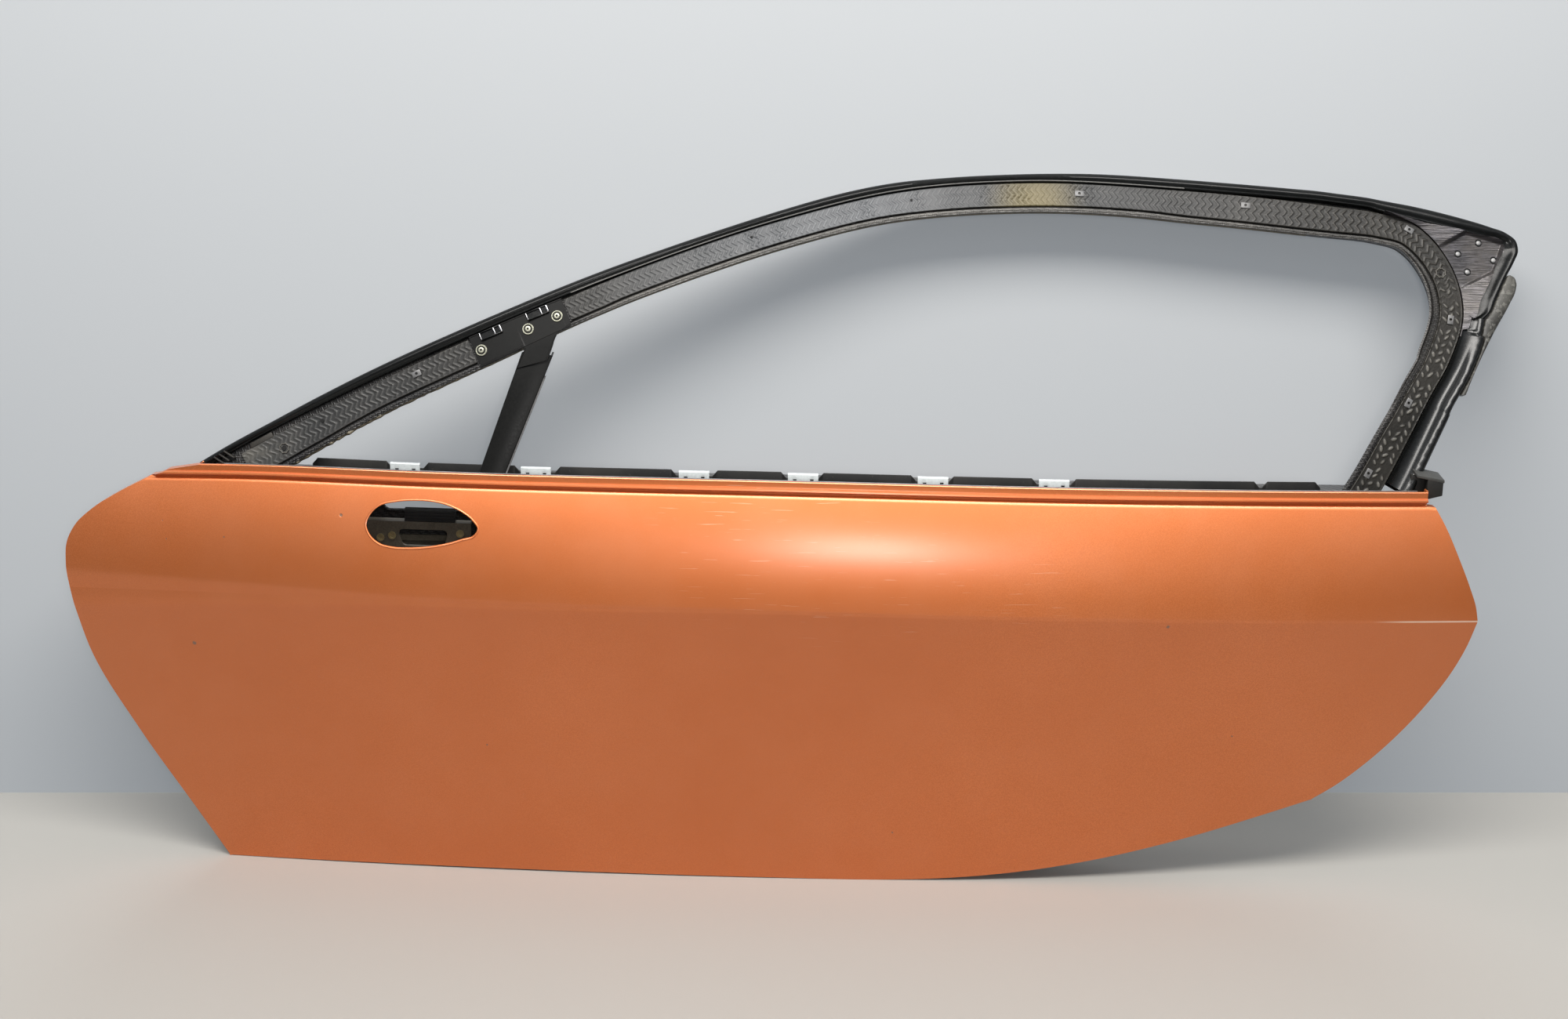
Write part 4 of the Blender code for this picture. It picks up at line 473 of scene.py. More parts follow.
dust_group.links.new(mix_colour(dust_group, settled, toned, given["Dust Colour"]), put["Colour"])
dust_group.links.new(settled, put["Dust"])
dust_group.links.new(fine, put["Height"])


def finish(name, colour, roughness, metallic=0.0, dust=0.3, dust_colour=(0.30, 0.27, 0.23), grain=400.0, uneven=0.15,
           bump=0.1, coat=0.0, coat_roughness=0.1, spread=0.12, specular=0.5):
    """A material with dust and grain. A colour that is a function draws its own pattern and may return a height."""
    made = bpy.data.materials.new(name)
    made.use_nodes = True
    tree = made.node_tree
    shader = tree.nodes["Principled BSDF"]
    height = None
    if callable(colour):
        colour, height = colour(tree)
    else:
        colour = (*colour, 1.0)
    wear = tree.nodes.new("ShaderNodeGroup")
    wear.node_tree = dust_group
    for label, value in (("Colour", colour), ("Dust Colour", (*dust_colour, 1.0)), ("Dust", dust),
                         ("Grain Scale", grain), ("Unevenness", uneven)):
        if isinstance(value, bpy.types.NodeSocket):
            tree.links.new(value, wear.inputs[label])
        else:
            wear.inputs[label].default_value = value
    tree.links.new(wear.outputs["Colour"], shader.inputs["Base Color"])
    rough = fade(tree, wear.outputs["Dust"], 0.0, 0.8, roughness, min(roughness + 0.45, 0.95))
    rough = math_node(tree, "ADD", rough, fade(tree, wear.outputs["Height"], 0.3, 0.7, -spread / 2, spread / 2))
    tree.links.new(rough, shader.inputs["Roughness"])
    shader.inputs["Metallic"].default_value = metallic
    shader.inputs["Coat Weight"].default_value = coat
    shader.inputs["Coat Roughness"].default_value = coat_roughness
    shader.inputs["Specular IOR Level"].default_value = specular
    soft = node(tree, "Bump", {"Height": wear.outputs["Height"], "Strength": bump, "Distance": 0.0004})
    if height is not None:
        soft = node(tree, "Bump", {"Height": height, "Strength": 0.9, "Distance": 0.0006, "Normal": soft.outputs[0]})
    tree.links.new(soft.outputs[0], shader.inputs["Normal"])
    return made


def near_marks(tree, place, marks):
    """A mask that is 1 at the marks, given as x, z and radius on the door's outside."""
    apart = node(tree, "SeparateXYZ", {0: place})
    flat = node(tree, "CombineXYZ", {0: apart.outputs[0], 2: apart.outputs[2]}).outputs[0]
    ragged = node(tree, "TexNoise", {"Vector": place, "Scale": 700.0, "Detail": 2.0}).outputs["Color"]
    ragged = node(tree, "VectorMath", {0: ragged, 1: (0.5, 0.5, 0.5)}, operation="SUBTRACT").outputs[0]
    ragged = node(tree, "VectorMath", {0: ragged, "Scale": 0.0022}, operation="SCALE").outputs[0]
    flat = node(tree, "VectorMath", {0: flat, 1: ragged}, operation="ADD").outputs[0]
    total = 0.0
    for x, z, radius in marks:
        spot = (x - door_origin.x, 0.0, z - door_origin.z)
        away = node(tree, "VectorMath", {0: flat, 1: spot}, operation="DISTANCE").outputs["Value"]
        total = math_node(tree, "MAXIMUM", total, fade(tree, away, radius * 1.3, radius * 0.7))
    return total


def copper_colour(tree):
    """Copper metallic paint: flakes, a slow drift of tone, chips down to grey primer, light rubbed marks and a painted
    highlight on the crease.
    """
    place = node(tree, "TexCoord").outputs["Object"]
    flakes = node(tree, "TexVoronoi", {"Vector": place, "Scale": 1500.0}).outputs["Color"]
    flake = node(tree, "SeparateColor", {0: flakes}).outputs[0]
    base = mix_colour(tree, flake, (0.66, 0.165, 0.036, 1.0), (0.78, 0.225, 0.058, 1.0))
    drift = noise(tree, place, 2.2, 2.0, 0.5)
    base = mix_colour(tree, fade(tree, drift, 0.35, 0.7), base, (0.68, 0.180, 0.042, 1.0))
    chips = near_marks(tree, place, ((0.2969, 0.4007, 0.0016), (0.1335, 0.2561, 0.0020), (1.1334, 0.3024, 0.0016),
                                     (0.1096, 0.3884, 0.0007), (0.1139, 0.3705, 0.0007), (0.1744, 0.3754, 0.0007),
                                     (1.2105, 0.1702, 0.0009), (0.8610, 0.0560, 0.0010), (0.4360, 0.1490, 0.0008)))
    base = mix_colour(tree, chips, base, (0.30, 0.16, 0.10, 1.0))
    long_grain = node(tree, "Mapping", {"Vector": place, "Scale": (22.0, 1.0, 620.0), "Rotation": (0, 0.10, 0)})
    lines = noise(tree, long_grain.outputs[0], 1.0, 3.0, 0.6)
    rubbed = near_marks(tree, place, ((0.700, 0.385, 0.080), (0.800, 0.372, 0.090), (0.880, 0.352, 0.060),
                                      (0.6367, 0.3479, 0.020), (0.9900, 0.3300, 0.040)))
    scratches = times(tree, fade(tree, lines, 0.650, 0.69), rubbed)
    base = mix_colour(tree, times(tree, scratches, 0.25), base, (0.92, 0.62, 0.42, 1.0))
    # a painted highlight: a thin bright line painted along the crease at the door's rear end, where a reflection runs
    # along it
    apart = node(tree, "SeparateXYZ", {0: place})
    rise = times(tree, math_node(tree, "SUBTRACT", apart.outputs[0], 1.200), 0.0195)
    above = math_node(tree, "SUBTRACT", apart.outputs[2], math_node(tree, "SUBTRACT", 0.0338, rise))
    line = fade(tree, math_node(tree, "ABSOLUTE", above), 0.0012, 0.0004)
    line = times(tree, line, fade(tree, apart.outputs[0], 1.190, 1.240))
    base = mix_colour(tree, times(tree, line, 0.8), base, (1.0, 0.78, 0.62, 1.0))
    height = math_node(tree, "SUBTRACT", 0.5, times(tree, chips, 0.4))
    return base, height


copper_paint = finish("copper_paint", copper_colour, 0.46, metallic=0.80, dust=0.07, dust_colour=(0.62, 0.42, 0.30),
                      grain=900.0, uneven=0.03, bump=0.012, coat=1.0, coat_roughness=0.25, spread=0.05, specular=0.8)
surface(outer_skin, copper_paint, 32)
outer_skin.name = "skin_pressing"
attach(outer_skin, "root")
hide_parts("outer_skin")


# The window frame's half shells: carbon fibre mouldings bonded back to back, with a channel along the outside and
# a rounded lip along the window. Resin and adhesive stand out of the bond as a ragged khaki bead.
path_shares = ((0.0724, -0.142), (0.1273, 0.032), (0.1926, 0.206), (0.2912, 0.433), (0.4043, 0.6625), (0.5152, 0.8435),
               (0.5931, 0.9323), (0.6824, 0.9654), (0.7941, 0.9395), (0.9062, 0.8798), (0.9399, 0.8542),
               (0.9630, 0.8190), (0.9836, 0.7210), (0.9935, 0.6180), (0.9958, 0.5166), (0.9852, 0.3607),
               (0.9700, 0.2380), (0.9557, 0.1127), (0.9345, -0.0727), (0.8937, -0.358))
band_width, shell_depth, window_undercut = 0.0250, 0.0210, 0.0075
belt_top, frame_setback, frame_lean, frame_bow = 0.0155, 0.030, 0.36, 0.60
band_reach = ((0.0, 1.35), (0.06, 1.40), (0.097, 1.33), (0.125, 1.22), (0.153, 1.15), (0.20, 1.13), (0.25, 1.06),
              (0.28, 1.02), (0.31, 0.95), (0.35, 0.95), (0.43, 0.93), (0.50, 1.02), (0.54, 1.04), (0.60, 1.03),
              (0.66, 1.15), (0.70, 1.17), (0.74, 1.11), (0.76, 1.05), (0.785, 1.00), (0.805, 0.97), (0.822, 0.96),
              (0.835, 0.97), (0.847, 0.98), (0.86, 0.97), (0.875, 0.93), (0.89, 0.96), (0.905, 1.01), (0.93, 1.10),
              (1.0, 1.15))
window_reach = ((0.0, 1.62), (0.06, 1.66), (0.097, 1.58), (0.125, 1.48), (0.153, 1.42), (0.20, 1.39), (0.25, 1.29),
                (0.28, 1.23), (0.31, 1.19), (0.35, 1.19), (0.43, 1.18), (0.50, 1.26), (0.54, 1.28), (0.60, 1.29),
                (0.66, 1.39), (0.70, 1.40), (0.74, 1.34), (0.76, 1.30), (0.785, 1.28), (0.805, 1.32), (0.825, 1.36),
                (0.84, 1.39), (0.855, 1.38), (0.868, 1.32), (0.88, 1.26), (0.895, 1.26), (0.91, 1.30), (0.93, 1.36),
                (1.0, 1.42))
shell_reach = ((0.0, 0.30), (0.05, 0.29), (0.11, 0.33), (0.17, 0.38), (0.28, 0.38), (0.37, 0.33), (0.44, 0.28),
               (0.50, 0.29), (0.61, 0.40), (0.68, 0.37), (0.74, 0.29), (0.76, 0.30), (0.80, 0.34), (0.83, 0.34),
               (0.8375, 0.31), (0.844, 0.17), (0.8505, 0.03), (0.87, 0.03), (1.0, 0.03))


def frame_y(x, z):
    """The frame's outboard face, which leans in and bows more the higher it rises above the belt."""
    rise = z - belt_at(x) - belt_top
    return plan(x) + frame_setback + frame_lean * rise + frame_bow * rise * rise


flat_path = np.array(smooth_line([(x * skin_length, belt_height + h * frame_rise) for x, h in path_shares], 576))
path = np.stack([flat_path[:, 0], frame_y(flat_path[:, 0], flat_path[:, 1]), flat_path[:, 1]], axis=-1)
path_length = float(np.linalg.norm(np.diff(path, axis=0), axis=1).sum())


def unit(vectors):
    return vectors / np.linalg.norm(vectors, axis=-1, keepdims=True)


def frame_out(x, z):
    """The direction out of the frame's face at door places."""
    x, z = np.asarray(x, dtype=float), np.asarray(z, dtype=float)
    slope_x = (frame_y(x + 0.001, z) - frame_y(x - 0.001, z)) / 0.002
    slope_z = (frame_y(x, z + 0.001) - frame_y(x, z - 0.001)) / 0.002
    return unit(np.stack([slope_x, -np.ones(x.shape), slope_z], axis=-1))


path_along = unit(np.gradient(path, axis=0))
path_out = frame_out(path[:, 0], path[:, 2])


def on_frame(shares, across, out, along=0.0):
    """Places on the frame: one row for each share of its path, one place for each pair across and out."""
    shares = np.clip(np.atleast_1d(np.asarray(shares, dtype=float)), 0.0, 1.0)
    at = shares * (len(path) - 1)
    point, way, out_way = (np.stack([np.interp(at, np.arange(len(path)), table[:, k]) for k in range(3)], axis=-1)
                           for table in (path, path_along, path_out))
    way = unit(way)
    out_way = unit(out_way - way * (way * out_way).sum(axis=-1, keepdims=True))
    side = np.cross(way, out_way)
    across, out = np.asarray(across, dtype=float), np.asarray(out, dtype=float)
    if across.ndim < 2:
        across, out = np.broadcast_to(across, (len(shares), across.size)), np.broadcast_to(out, (len(shares), out.size))
    return point[:, None] + side[:, None] * across[..., None] + out_way[:, None] * out[..., None] + way[:, None] * along


def reach(table, shares):
    """How far across the frame a table of band widths reaches at shares of the path."""
    fine = np.array(smooth_line(table, 240))
    return np.interp(shares, fine[:, 0], fine[:, 1]) * band_width


def frame_strip(name, shares, profile):
    """A solid strip along the frame. The profile gives its (across, out) points at one share."""
    section = np.array([profile(float(share)) for share in shares])
    return ring_loft(name, on_frame(shares, section[..., 0], section[..., 1]))


def trim_feet(piece):
    """Cuts a leg of the frame off level above the belt beam."""
    steps = np.linspace(-0.1, 1.6, 60)
    cut_out(piece, prism([(x, belt_at(x) - 0.004) for x in steps] + [(1.6, 0.2), (-0.1, 0.2)], -0.1, 0.3))


band_table, shell_table = np.array(smooth_line(band_reach, 240)), np.array(smooth_line(shell_reach, 240))
window_table = np.array(smooth_line(window_reach, 300))


def frame_edges(share):
    """The band's inner edge, the window's edge and the shell's outer edge, across the frame."""
    reaches = [float(np.interp(share, table[:, 0], table[:, 1])) for table in (band_table, window_table, shell_table)]
    return reaches[0] * band_width, reaches[1] * band_width, -reaches[2] * band_width


def outer_section(share):
    """The channel, then the lip beside the window, which opens down the rear leg into a step, a bead and a groove."""
    width, right, left = frame_edges(share)
    lip, under, deep = width + 0.0014, window_undercut, -shell_depth
    opened = min(max((right - width - 0.0068) / 0.0022, 0.0), 1.0)
    bead, groove, edge = lip + 0.56 * (right - lip), 0.0007 + 0.0062 * opened, right - 0.0004 - 0.0014 * opened
    return [(left, deep), (left, -0.0046), (0.0, -0.0046), (0.0, -0.0033), (width, -0.0033), (width, -0.0044),
            (lip, -0.0044), (lip, -0.0014 - 0.0010 * opened), (lip + 0.0004, -0.0006 - 0.0012 * opened),
            (bead - 0.0012, -0.0001 - 0.0014 * opened), (bead - 0.0008, 0.0009 * opened), (bead, 0.0011 * opened),
            (bead + 0.0004, -0.0002), (bead + 0.0006, -groove), (edge - 0.0006, -groove), (edge - 0.0002, -0.0010),
            (edge + 0.0002, -0.0010), (right, -0.0018), (right - 0.0004, -0.0036), (right - under, deep),
            (right - 0.0022 - under, deep), (right - 0.0026 - 0.35 * under, -0.0090), (left + 0.0022, -0.0090),
            (left + 0.0022, deep)]


def inner_section(share):
    """The closing shell: two flanges against the outer shell's feet, and a shallow tub between them."""
    width, right, left = frame_edges(share)
    right -= window_undercut
    return [(left, -0.0213), (left + 0.005, -0.0213), (left + 0.0095, -0.0303), (left + 0.0110, -0.0313),
            (right - 0.0110, -0.0313), (right - 0.0095, -0.0303), (right - 0.005, -0.0213), (right, -0.0213),
            (right, -0.0235), (right - 0.0040, -0.0235), (right - 0.0085, -0.0325), (right - 0.0100, -0.0335),
            (left + 0.0100, -0.0335), (left + 0.0085, -0.0325), (left + 0.0040, -0.0235), (left, -0.0235)]


def twill_colour(tree):
    """Carbon cloth in a two by two twill: each cell shows the tow that lies on top there."""
    tow = 0.0022
    place = node(tree, "TexCoord").outputs["Object"]
    apart = node(tree, "SeparateXYZ", {0: place})
    u = times(tree, math_node(tree, "ADD", apart.outputs[0], apart.outputs[1]), 1.0 / tow)
    v = times(tree, apart.outputs[2], 1.0 / tow)
    cell = math_node(tree, "ADD", math_node(tree, "FLOOR", u), math_node(tree, "FLOOR", v))
    over = math_node(tree, "LESS_THAN", math_node(tree, "FRACT", times(tree, cell, 0.25)), 0.5)
    rib_u = math_node(tree, "SINE", times(tree, math_node(tree, "FRACT", u), math.pi))
    rib_v = math_node(tree, "SINE", times(tree, math_node(tree, "FRACT", v), math.pi))
    height = node(tree, "Mix", {0: over, 2: rib_u, 3: rib_v}, data_type="FLOAT").outputs[0]
    shade_of = times(tree, math_node(tree, "ADD", times(tree, over, 0.5), 0.5), height)
    return mix_colour(tree, shade_of, (0.012, 0.012, 0.013, 1.0), (0.040, 0.039, 0.039, 1.0)), height


def shell_colour(tree):
    """The cloth, and the lip beside the window, which is paler along the roof, most over its middle."""
    base, height = twill_colour(tree)
    pale = node(tree, "Attribute", attribute_name="pale").outputs["Fac"]
    worn = noise(tree, node(tree, "TexCoord").outputs["Object"], 90.0, 4.0)
    pale = times(tree, pale, fade(tree, worn, 0.25, 0.6, 0.6, 1.0))
    return mix_colour(tree, pale, base, (0.165, 0.158, 0.146, 1.0)), height


carbon_fibre = finish("carbon_fibre", shell_colour, 0.36, dust=0.13, grain=160.0, uneven=0.25, bump=0.10, coat=0.25,
                      coat_roughness=0.25, specular=0.35)
shell_shares = np.linspace(0.0, 1.0, 700)
frame_outer = frame_strip("frame_channel", shell_shares, outer_section)
pale = np.zeros((len(shell_shares), 24))
pale[:, 7:19] = np.interp(shell_shares, (0.26, 0.30, 0.36, 0.50, 0.62, 0.72, 0.80, 0.84),
                          (0.0, 0.55, 0.9, 1.0, 0.75, 0.5, 0.25, 0.0))[:, None]
frame_outer.data.attributes.new("pale", "FLOAT", "POINT").data.foreach_set("value", pale.ravel())
trim_feet(frame_outer)
frame_inner = frame_strip("frame_closing", shell_shares, inner_section)
trim_feet(frame_inner)
for piece, stands_for in ((frame_outer, "frame_outer_shell"), (frame_inner, "frame_inner_shell")):
    surface(piece, carbon_fibre, 40)
    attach(piece, "root")
    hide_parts(stands_for)

# the squeezed-out bead along the window side of the bond: even along the roof, ragged down the front leg
rng = np.random.default_rng(7)
bead_shares = np.linspace(0.03, 0.715, 1100)
lumps = np.interp(bead_shares, np.linspace(0.0, 1.0, 420), rng.normal(0.0, 1.0, 420))
rough_share = np.interp(bead_shares, (0.0, 0.13, 0.20, 0.27, 0.70, 0.76, 1.0), (1.0, 1.0, 0.5, 0.12, 0.10, 0.0, 0.0))
edge_across = np.interp(bead_shares, window_table[:, 0], window_table[:, 1]) * band_width
reach_out = 0.0010 + 0.0011 * np.clip(rough_share + 0.5 * rough_share * lumps, 0.05, 2.2)
turns = np.linspace(0, 2 * math.pi, 8, endpoint=False)
bead_across = edge_across[:, None] - 0.0016 + reach_out[:, None] * (1 + np.cos(turns)) * 0.72
bead_out = -0.0052 + 0.0026 * np.sin(turns)[None] + 0.0012 * (lumps * rough_share)[:, None]
bond_bead = ring_loft("bond_bead", on_frame(bead_shares, bead_across, bead_out))
trim_feet(bond_bead)
khaki_resin = finish("khaki_resin", (0.185, 0.160, 0.110), 0.5, dust=0.35, dust_colour=(0.32, 0.30, 0.26),
                     grain=300.0, uneven=0.35, bump=0.5)
surface(bond_bead, khaki_resin, 60)
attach(bond_bead, "root")


# The ribbed bands: moulded plastic strips bonded into the frame's channel, whose herringbone ribs key the adhesive
# of the outer trim. They have gone grey-brown with dust on the ridges, which are also painted light against painted
# shade in the hollows, a painted sheen lies over the roof, and the ribs are broken up down the rear leg.
def lens_marks(along, across, width, seed):
    """The separate lens-shaped marks down the rear leg, leaning in turn to either side."""
    random = np.random.default_rng(seed)
    marks = np.zeros(np.broadcast_shapes(along.shape, across.shape))
    for k in range(3):
        lean = 0.62 if k % 2 else -0.62
        middle = width * (0.22 + 0.27 * k)
        for start in np.arange(along.min(), along.max(), 0.0082):
            there = start + 0.0041 * (k % 2) + random.normal(0.0, 0.0007)
            long, wide = random.uniform(0.0028, 0.0040), random.uniform(0.0011, 0.0017)
            strong = random.uniform(0.45, 1.0)
            shift, turn = random.normal(0.0, 0.0004), lean + random.normal(0.0, 0.12)
            if random.uniform() < 0.14:
                continue
            rows = np.abs(along[:, 0] - there) < 0.005
            u, v = along[rows] - there, across[rows] - middle[rows] - shift
            p = u * math.cos(turn) + v * math.sin(turn)
            q = v * math.cos(turn) - u * math.sin(turn)
            marks[rows] = np.maximum(marks[rows], strong * np.clip(1.25 - (p / long) ** 2 - (q / wide) ** 2, 0, 1))
    return marks


def rib_band(name, stands_for, low, high, points, seed):
    """One band between two shares of the path, its ribs raised in its mesh by a number of points across it."""
    step = 0.00092
    shares = np.arange(low, high, step / path_length)
    width = reach(band_reach, shares) - 0.0003
    part = np.linspace(0.0, 1.0, points)
    near = np.interp(shares, (0.05, 0.11, 0.15, 0.19, 0.27, 0.31),
                     (0.0062, 0.0056, 0.0036, 0.0018, 0.0016, 0.0))[:, None]
    across = near + 0.0009 + (width[:, None] - near - 0.0018) * part
    along = (shares * path_length)[:, None]
    random = np.random.default_rng(seed)
    wander = np.interp(shares, np.linspace(low, high, 90), random.normal(0.0, 1.0, 90))[:, None]
    grit = random.normal(0.0, 1.0, (len(shares), points))
    zigzag = np.abs(((across - 0.0022) / 0.0110) % 1.0 - 0.5) * 2
    pitch = np.interp(shares, (0.0, 0.60, 0.67, 0.80, 1.0), (0.0060, 0.0060, 0.0080, 0.0080, 0.0070))
    phase = np.cumsum(step / pitch)[:, None] - (zigzag * 0.0052 - 0.0004 * wander) / pitch[:, None]
    wave = 0.5 + 0.5 * np.cos(2 * math.pi * phase + 0.9 * np.sin(2 * math.pi * phase))
    broken = np.interp(shares, (0.0, 0.80, 0.835, 1.0), (0.0, 0.0, 1.0, 1.0))[:, None]
    ridge = wave ** 2.2 * (1 - broken)
    smooth_side = np.interp(shares, (0.0, 0.72, 0.78, 0.84, 1.0), (0.0012, 0.0012, 0.0042, 0.0030, 0.0022))[:, None]
    edge = (np.clip((across - near - smooth_side) / 0.0012, 0, 1)
            * np.clip((width[:, None] - across - 0.0014) / 0.0010, 0, 1))
    ridge = ridge * edge * np.clip(0.85 + 0.22 * wander, 0.35, 1.0)
    marks = lens_marks(along, across, width[:, None], seed) * broken if high > 0.8 else 0.0 * ridge
    height = -0.00060 + 0.00095 * ridge + 0.00085 * marks + 0.000035 * grit
    border = (np.exp(-((across - near - 0.0007) / 0.0005) ** 2)
              + np.exp(-((width[:, None] - across - 0.0007) / 0.0005) ** 2))
    height = height + 0.00035 * np.clip(border, 0, 1)
    zero, full, floor_of = np.zeros((len(shares), 1)), width[:, None], np.full((len(shares), 1), -0.0030)
    all_across = np.hstack([near, near, across, full, full])
    all_out = np.hstack([floor_of, zero - 0.0010, height, zero - 0.0010, floor_of])
    piece = ring_loft(name, on_frame(shares, all_across, all_out))
    # a painted sheen: the band is marked paler over the roof, most at its middle, where the light's sheen lies on it
    pale = np.interp(shares, (0.05, 0.10, 0.20, 0.27, 0.31, 0.36, 0.41, 0.45, 0.48, 0.51, 0.55, 0.60, 0.66, 0.72, 0.83),
                     (0.35, 0.25, 0.15, 0.15, 0.40, 0.70, 0.90, 1.0, 0.75, 0.50, 0.40, 0.30, 0.18, 0.06, 0.0))
    pale = np.broadcast_to(pale[:, None], ridge.shape)
    # the crests: the ribs and the band's raised borders, painted lighter than the hollows as painted light over their
    # dust
    crests = np.clip(ridge + 0.55 * np.clip(border, 0, 1), 0, 1)
    for label, values in (("ridge", crests), ("marks", marks), ("pale", pale)):
        values = np.hstack([zero, zero, values, zero, zero])
        piece.data.attributes.new(label, "FLOAT", "POINT").data.foreach_set("value", values.ravel())
    trim_feet(piece)
    surface(piece, ribbed_band, 60)
    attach(piece, "root")
    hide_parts(stands_for)


def band_colour(tree):
    """Painted shade in the hollows, dusty crests with painted light, a painted sheen and a painted warm reflection over
    the roof.
    """
    # painted shade and light: the ridge attribute mixes near-black hollows into lighter crests, on top of the dust on
    # the ridges
    ridge = node(tree, "Attribute", attribute_name="ridge").outputs["Fac"]
    place = node(tree, "TexCoord").outputs["Object"]
    worn = noise(tree, place, 60.0, 5.0, 0.65)
    share = times(tree, ridge, fade(tree, worn, 0.25, 0.7, 0.45, 1.0))
    # painted sheen: where pale is high, the hollows and crests turn a pale bluish grey
    pale = node(tree, "Attribute", attribute_name="pale").outputs["Fac"]
    hollow = mix_colour(tree, pale, (0.012, 0.011, 0.009, 1.0), (0.100, 0.105, 0.112, 1.0))
    crest = mix_colour(tree, pale, (0.058, 0.052, 0.043, 1.0), (0.270, 0.280, 0.290, 1.0))
    base = mix_colour(tree, share, hollow, crest)
    marks = node(tree, "Attribute", attribute_name="marks").outputs["Fac"]
    base = mix_colour(tree, fade(tree, marks, 0.15, 0.7), base, (0.125, 0.118, 0.104, 1.0))
    # a painted reflection: a warm gold patch over the top of the roof, where a warm lamp's reflection lies
    away = node(tree, "VectorMath", {0: place, 1: (0.860, 0.0, 0.437)}, operation="DISTANCE").outputs["Value"]
    warm_reflection_mask = times(tree, fade(tree, away, 0.062, 0.015), 0.8)
    base = mix_colour(tree, warm_reflection_mask, base, (0.190, 0.155, 0.070, 1.0))
    bottom = fade(tree, node(tree, "SeparateXYZ", {0: place}).outputs[2], 0.26, 0.19)
    front = fade(tree, node(tree, "SeparateXYZ", {0: place}).outputs[0], 0.12, 0.03)
    pale = times(tree, times(tree, bottom, front), fade(tree, worn, 0.4, 0.6, 0.3, 1.0))
    return mix_colour(tree, pale, base, (0.120, 0.115, 0.102, 1.0)), None


ribbed_band = finish("ribbed_band", band_colour, 0.40, metallic=0.10, dust=0.13, dust_colour=(0.12, 0.108, 0.09),
                     grain=900.0, uneven=0.22, bump=0.35, specular=0.32)
rib_band("herringbone_front", "front_band", 0.053, 0.204, 36, 3)
rib_band("herringbone_rear", "rear_band", 0.2645, 0.955, 34, 4)


# The band's fastening points: small zinc plates pressed over its studs, plain drilled holes drawn as black discs
# of painted shade, and two ringed ones where a locating pin goes through.
def frame_seat(x, z):
    """The share of the frame's path, and the reach across it, of a door place."""
    point = np.array((x, float(frame_y(x, z)), z))
    k = int(np.argmin(np.linalg.norm(path - point, axis=1)))
    side = np.cross(path_along[k], path_out[k])
    return k / (len(path) - 1), float(np.dot(point - path[k], side))


def frame_matrix(share, across, out, turn=0.0):
    """Local X runs along the frame, local Z points out of it. The origin is in door coordinates."""
    point = on_frame(share, across, out)[0, 0]
    ahead = on_frame(min(share + 0.0005, 1.0), across, out)[0, 0] - on_frame(max(share - 0.0005, 0), across, out)[0, 0]
    way = Vector(ahead).normalized()
    out_way = Vector(on_frame(share, across, out + 0.01)[0, 0] - point).normalized()
    side = out_way.cross(way).normalized()
    rows = Matrix((way, side, way.cross(side))).transposed().to_4x4()
    rows.translation = Vector(point) - door_origin
    return rows @ Matrix.Rotation(turn, 4, "Z")


def settle(piece, matrix):
    """Moves a piece made at the origin to its place, in its mesh."""
    piece.data.transform(matrix)
    piece.matrix_world = Matrix.Identity(4)
    piece.data.update()


def copies(piece, count):
    """The piece, whose name ends in 1, and its numbered copies up to the count, each with its own mesh."""
    made = [piece]
    for number in range(2, count + 1):
        made.append(piece.copy())
        made[-1].data = piece.data.copy()
        made[-1].name = piece.name[:-1] + str(number)
        bpy.context.scene.collection.objects.link(made[-1])
    return made


def bevelled(piece, width, segments=2):
    edge = piece.modifiers.new("edges", "BEVEL")
    edge.width = width
    edge.segments = segments
    edge.limit_method = "ANGLE"
    apply_modifiers(piece)


def drum(radius, height, sides=24, lift=0.0):
    bpy.ops.mesh.primitive_cylinder_add(vertices=sides, radius=radius, depth=height, location=(0, 0, lift))
    piece = bpy.context.object
    bpy.ops.object.transform_apply(location=True)
    return piece


def slab(length, width, height, lift=0.0):
    bpy.ops.mesh.primitive_cube_add(size=1.0, location=(0, 0, lift))
    piece = bpy.context.object
    piece.scale = (length, width, height)
    bpy.ops.object.transform_apply(location=True, scale=True)
    return piece


zinc_plate = slab(0.0095, 0.0062, 0.0007)
bevelled(zinc_plate, 0.0006, 2)
cut_out(zinc_plate, drum(0.0015, 0.01, 16))
lip = drum(0.0023, 0.0010, 20)
cut_out(lip, drum(0.0015, 0.01, 20))
zinc_plate = join([zinc_plate, lip])
zinc_plate.name = "band_plate_1"
zinc_plated = finish("zinc_plated", (0.150, 0.150, 0.152), 0.45, metallic=0.3, dust=0.15, uneven=0.2, bump=0.2)
surface(zinc_plate, zinc_plated, 35)
plate_places = ((1.0499, 0.7025), (1.2216, 0.6906), (1.3922, 0.6662), (1.4304, 0.5825), (1.3841, 0.5068),
                (1.3408, 0.4403), (0.3715, 0.5308))
for plate, (x, z) in zip(copies(zinc_plate, len(plate_places)), plate_places):
    share, across = frame_seat(x, z)
    settle(plate, frame_matrix(share, across, 0.0006))
    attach(plate, "root")

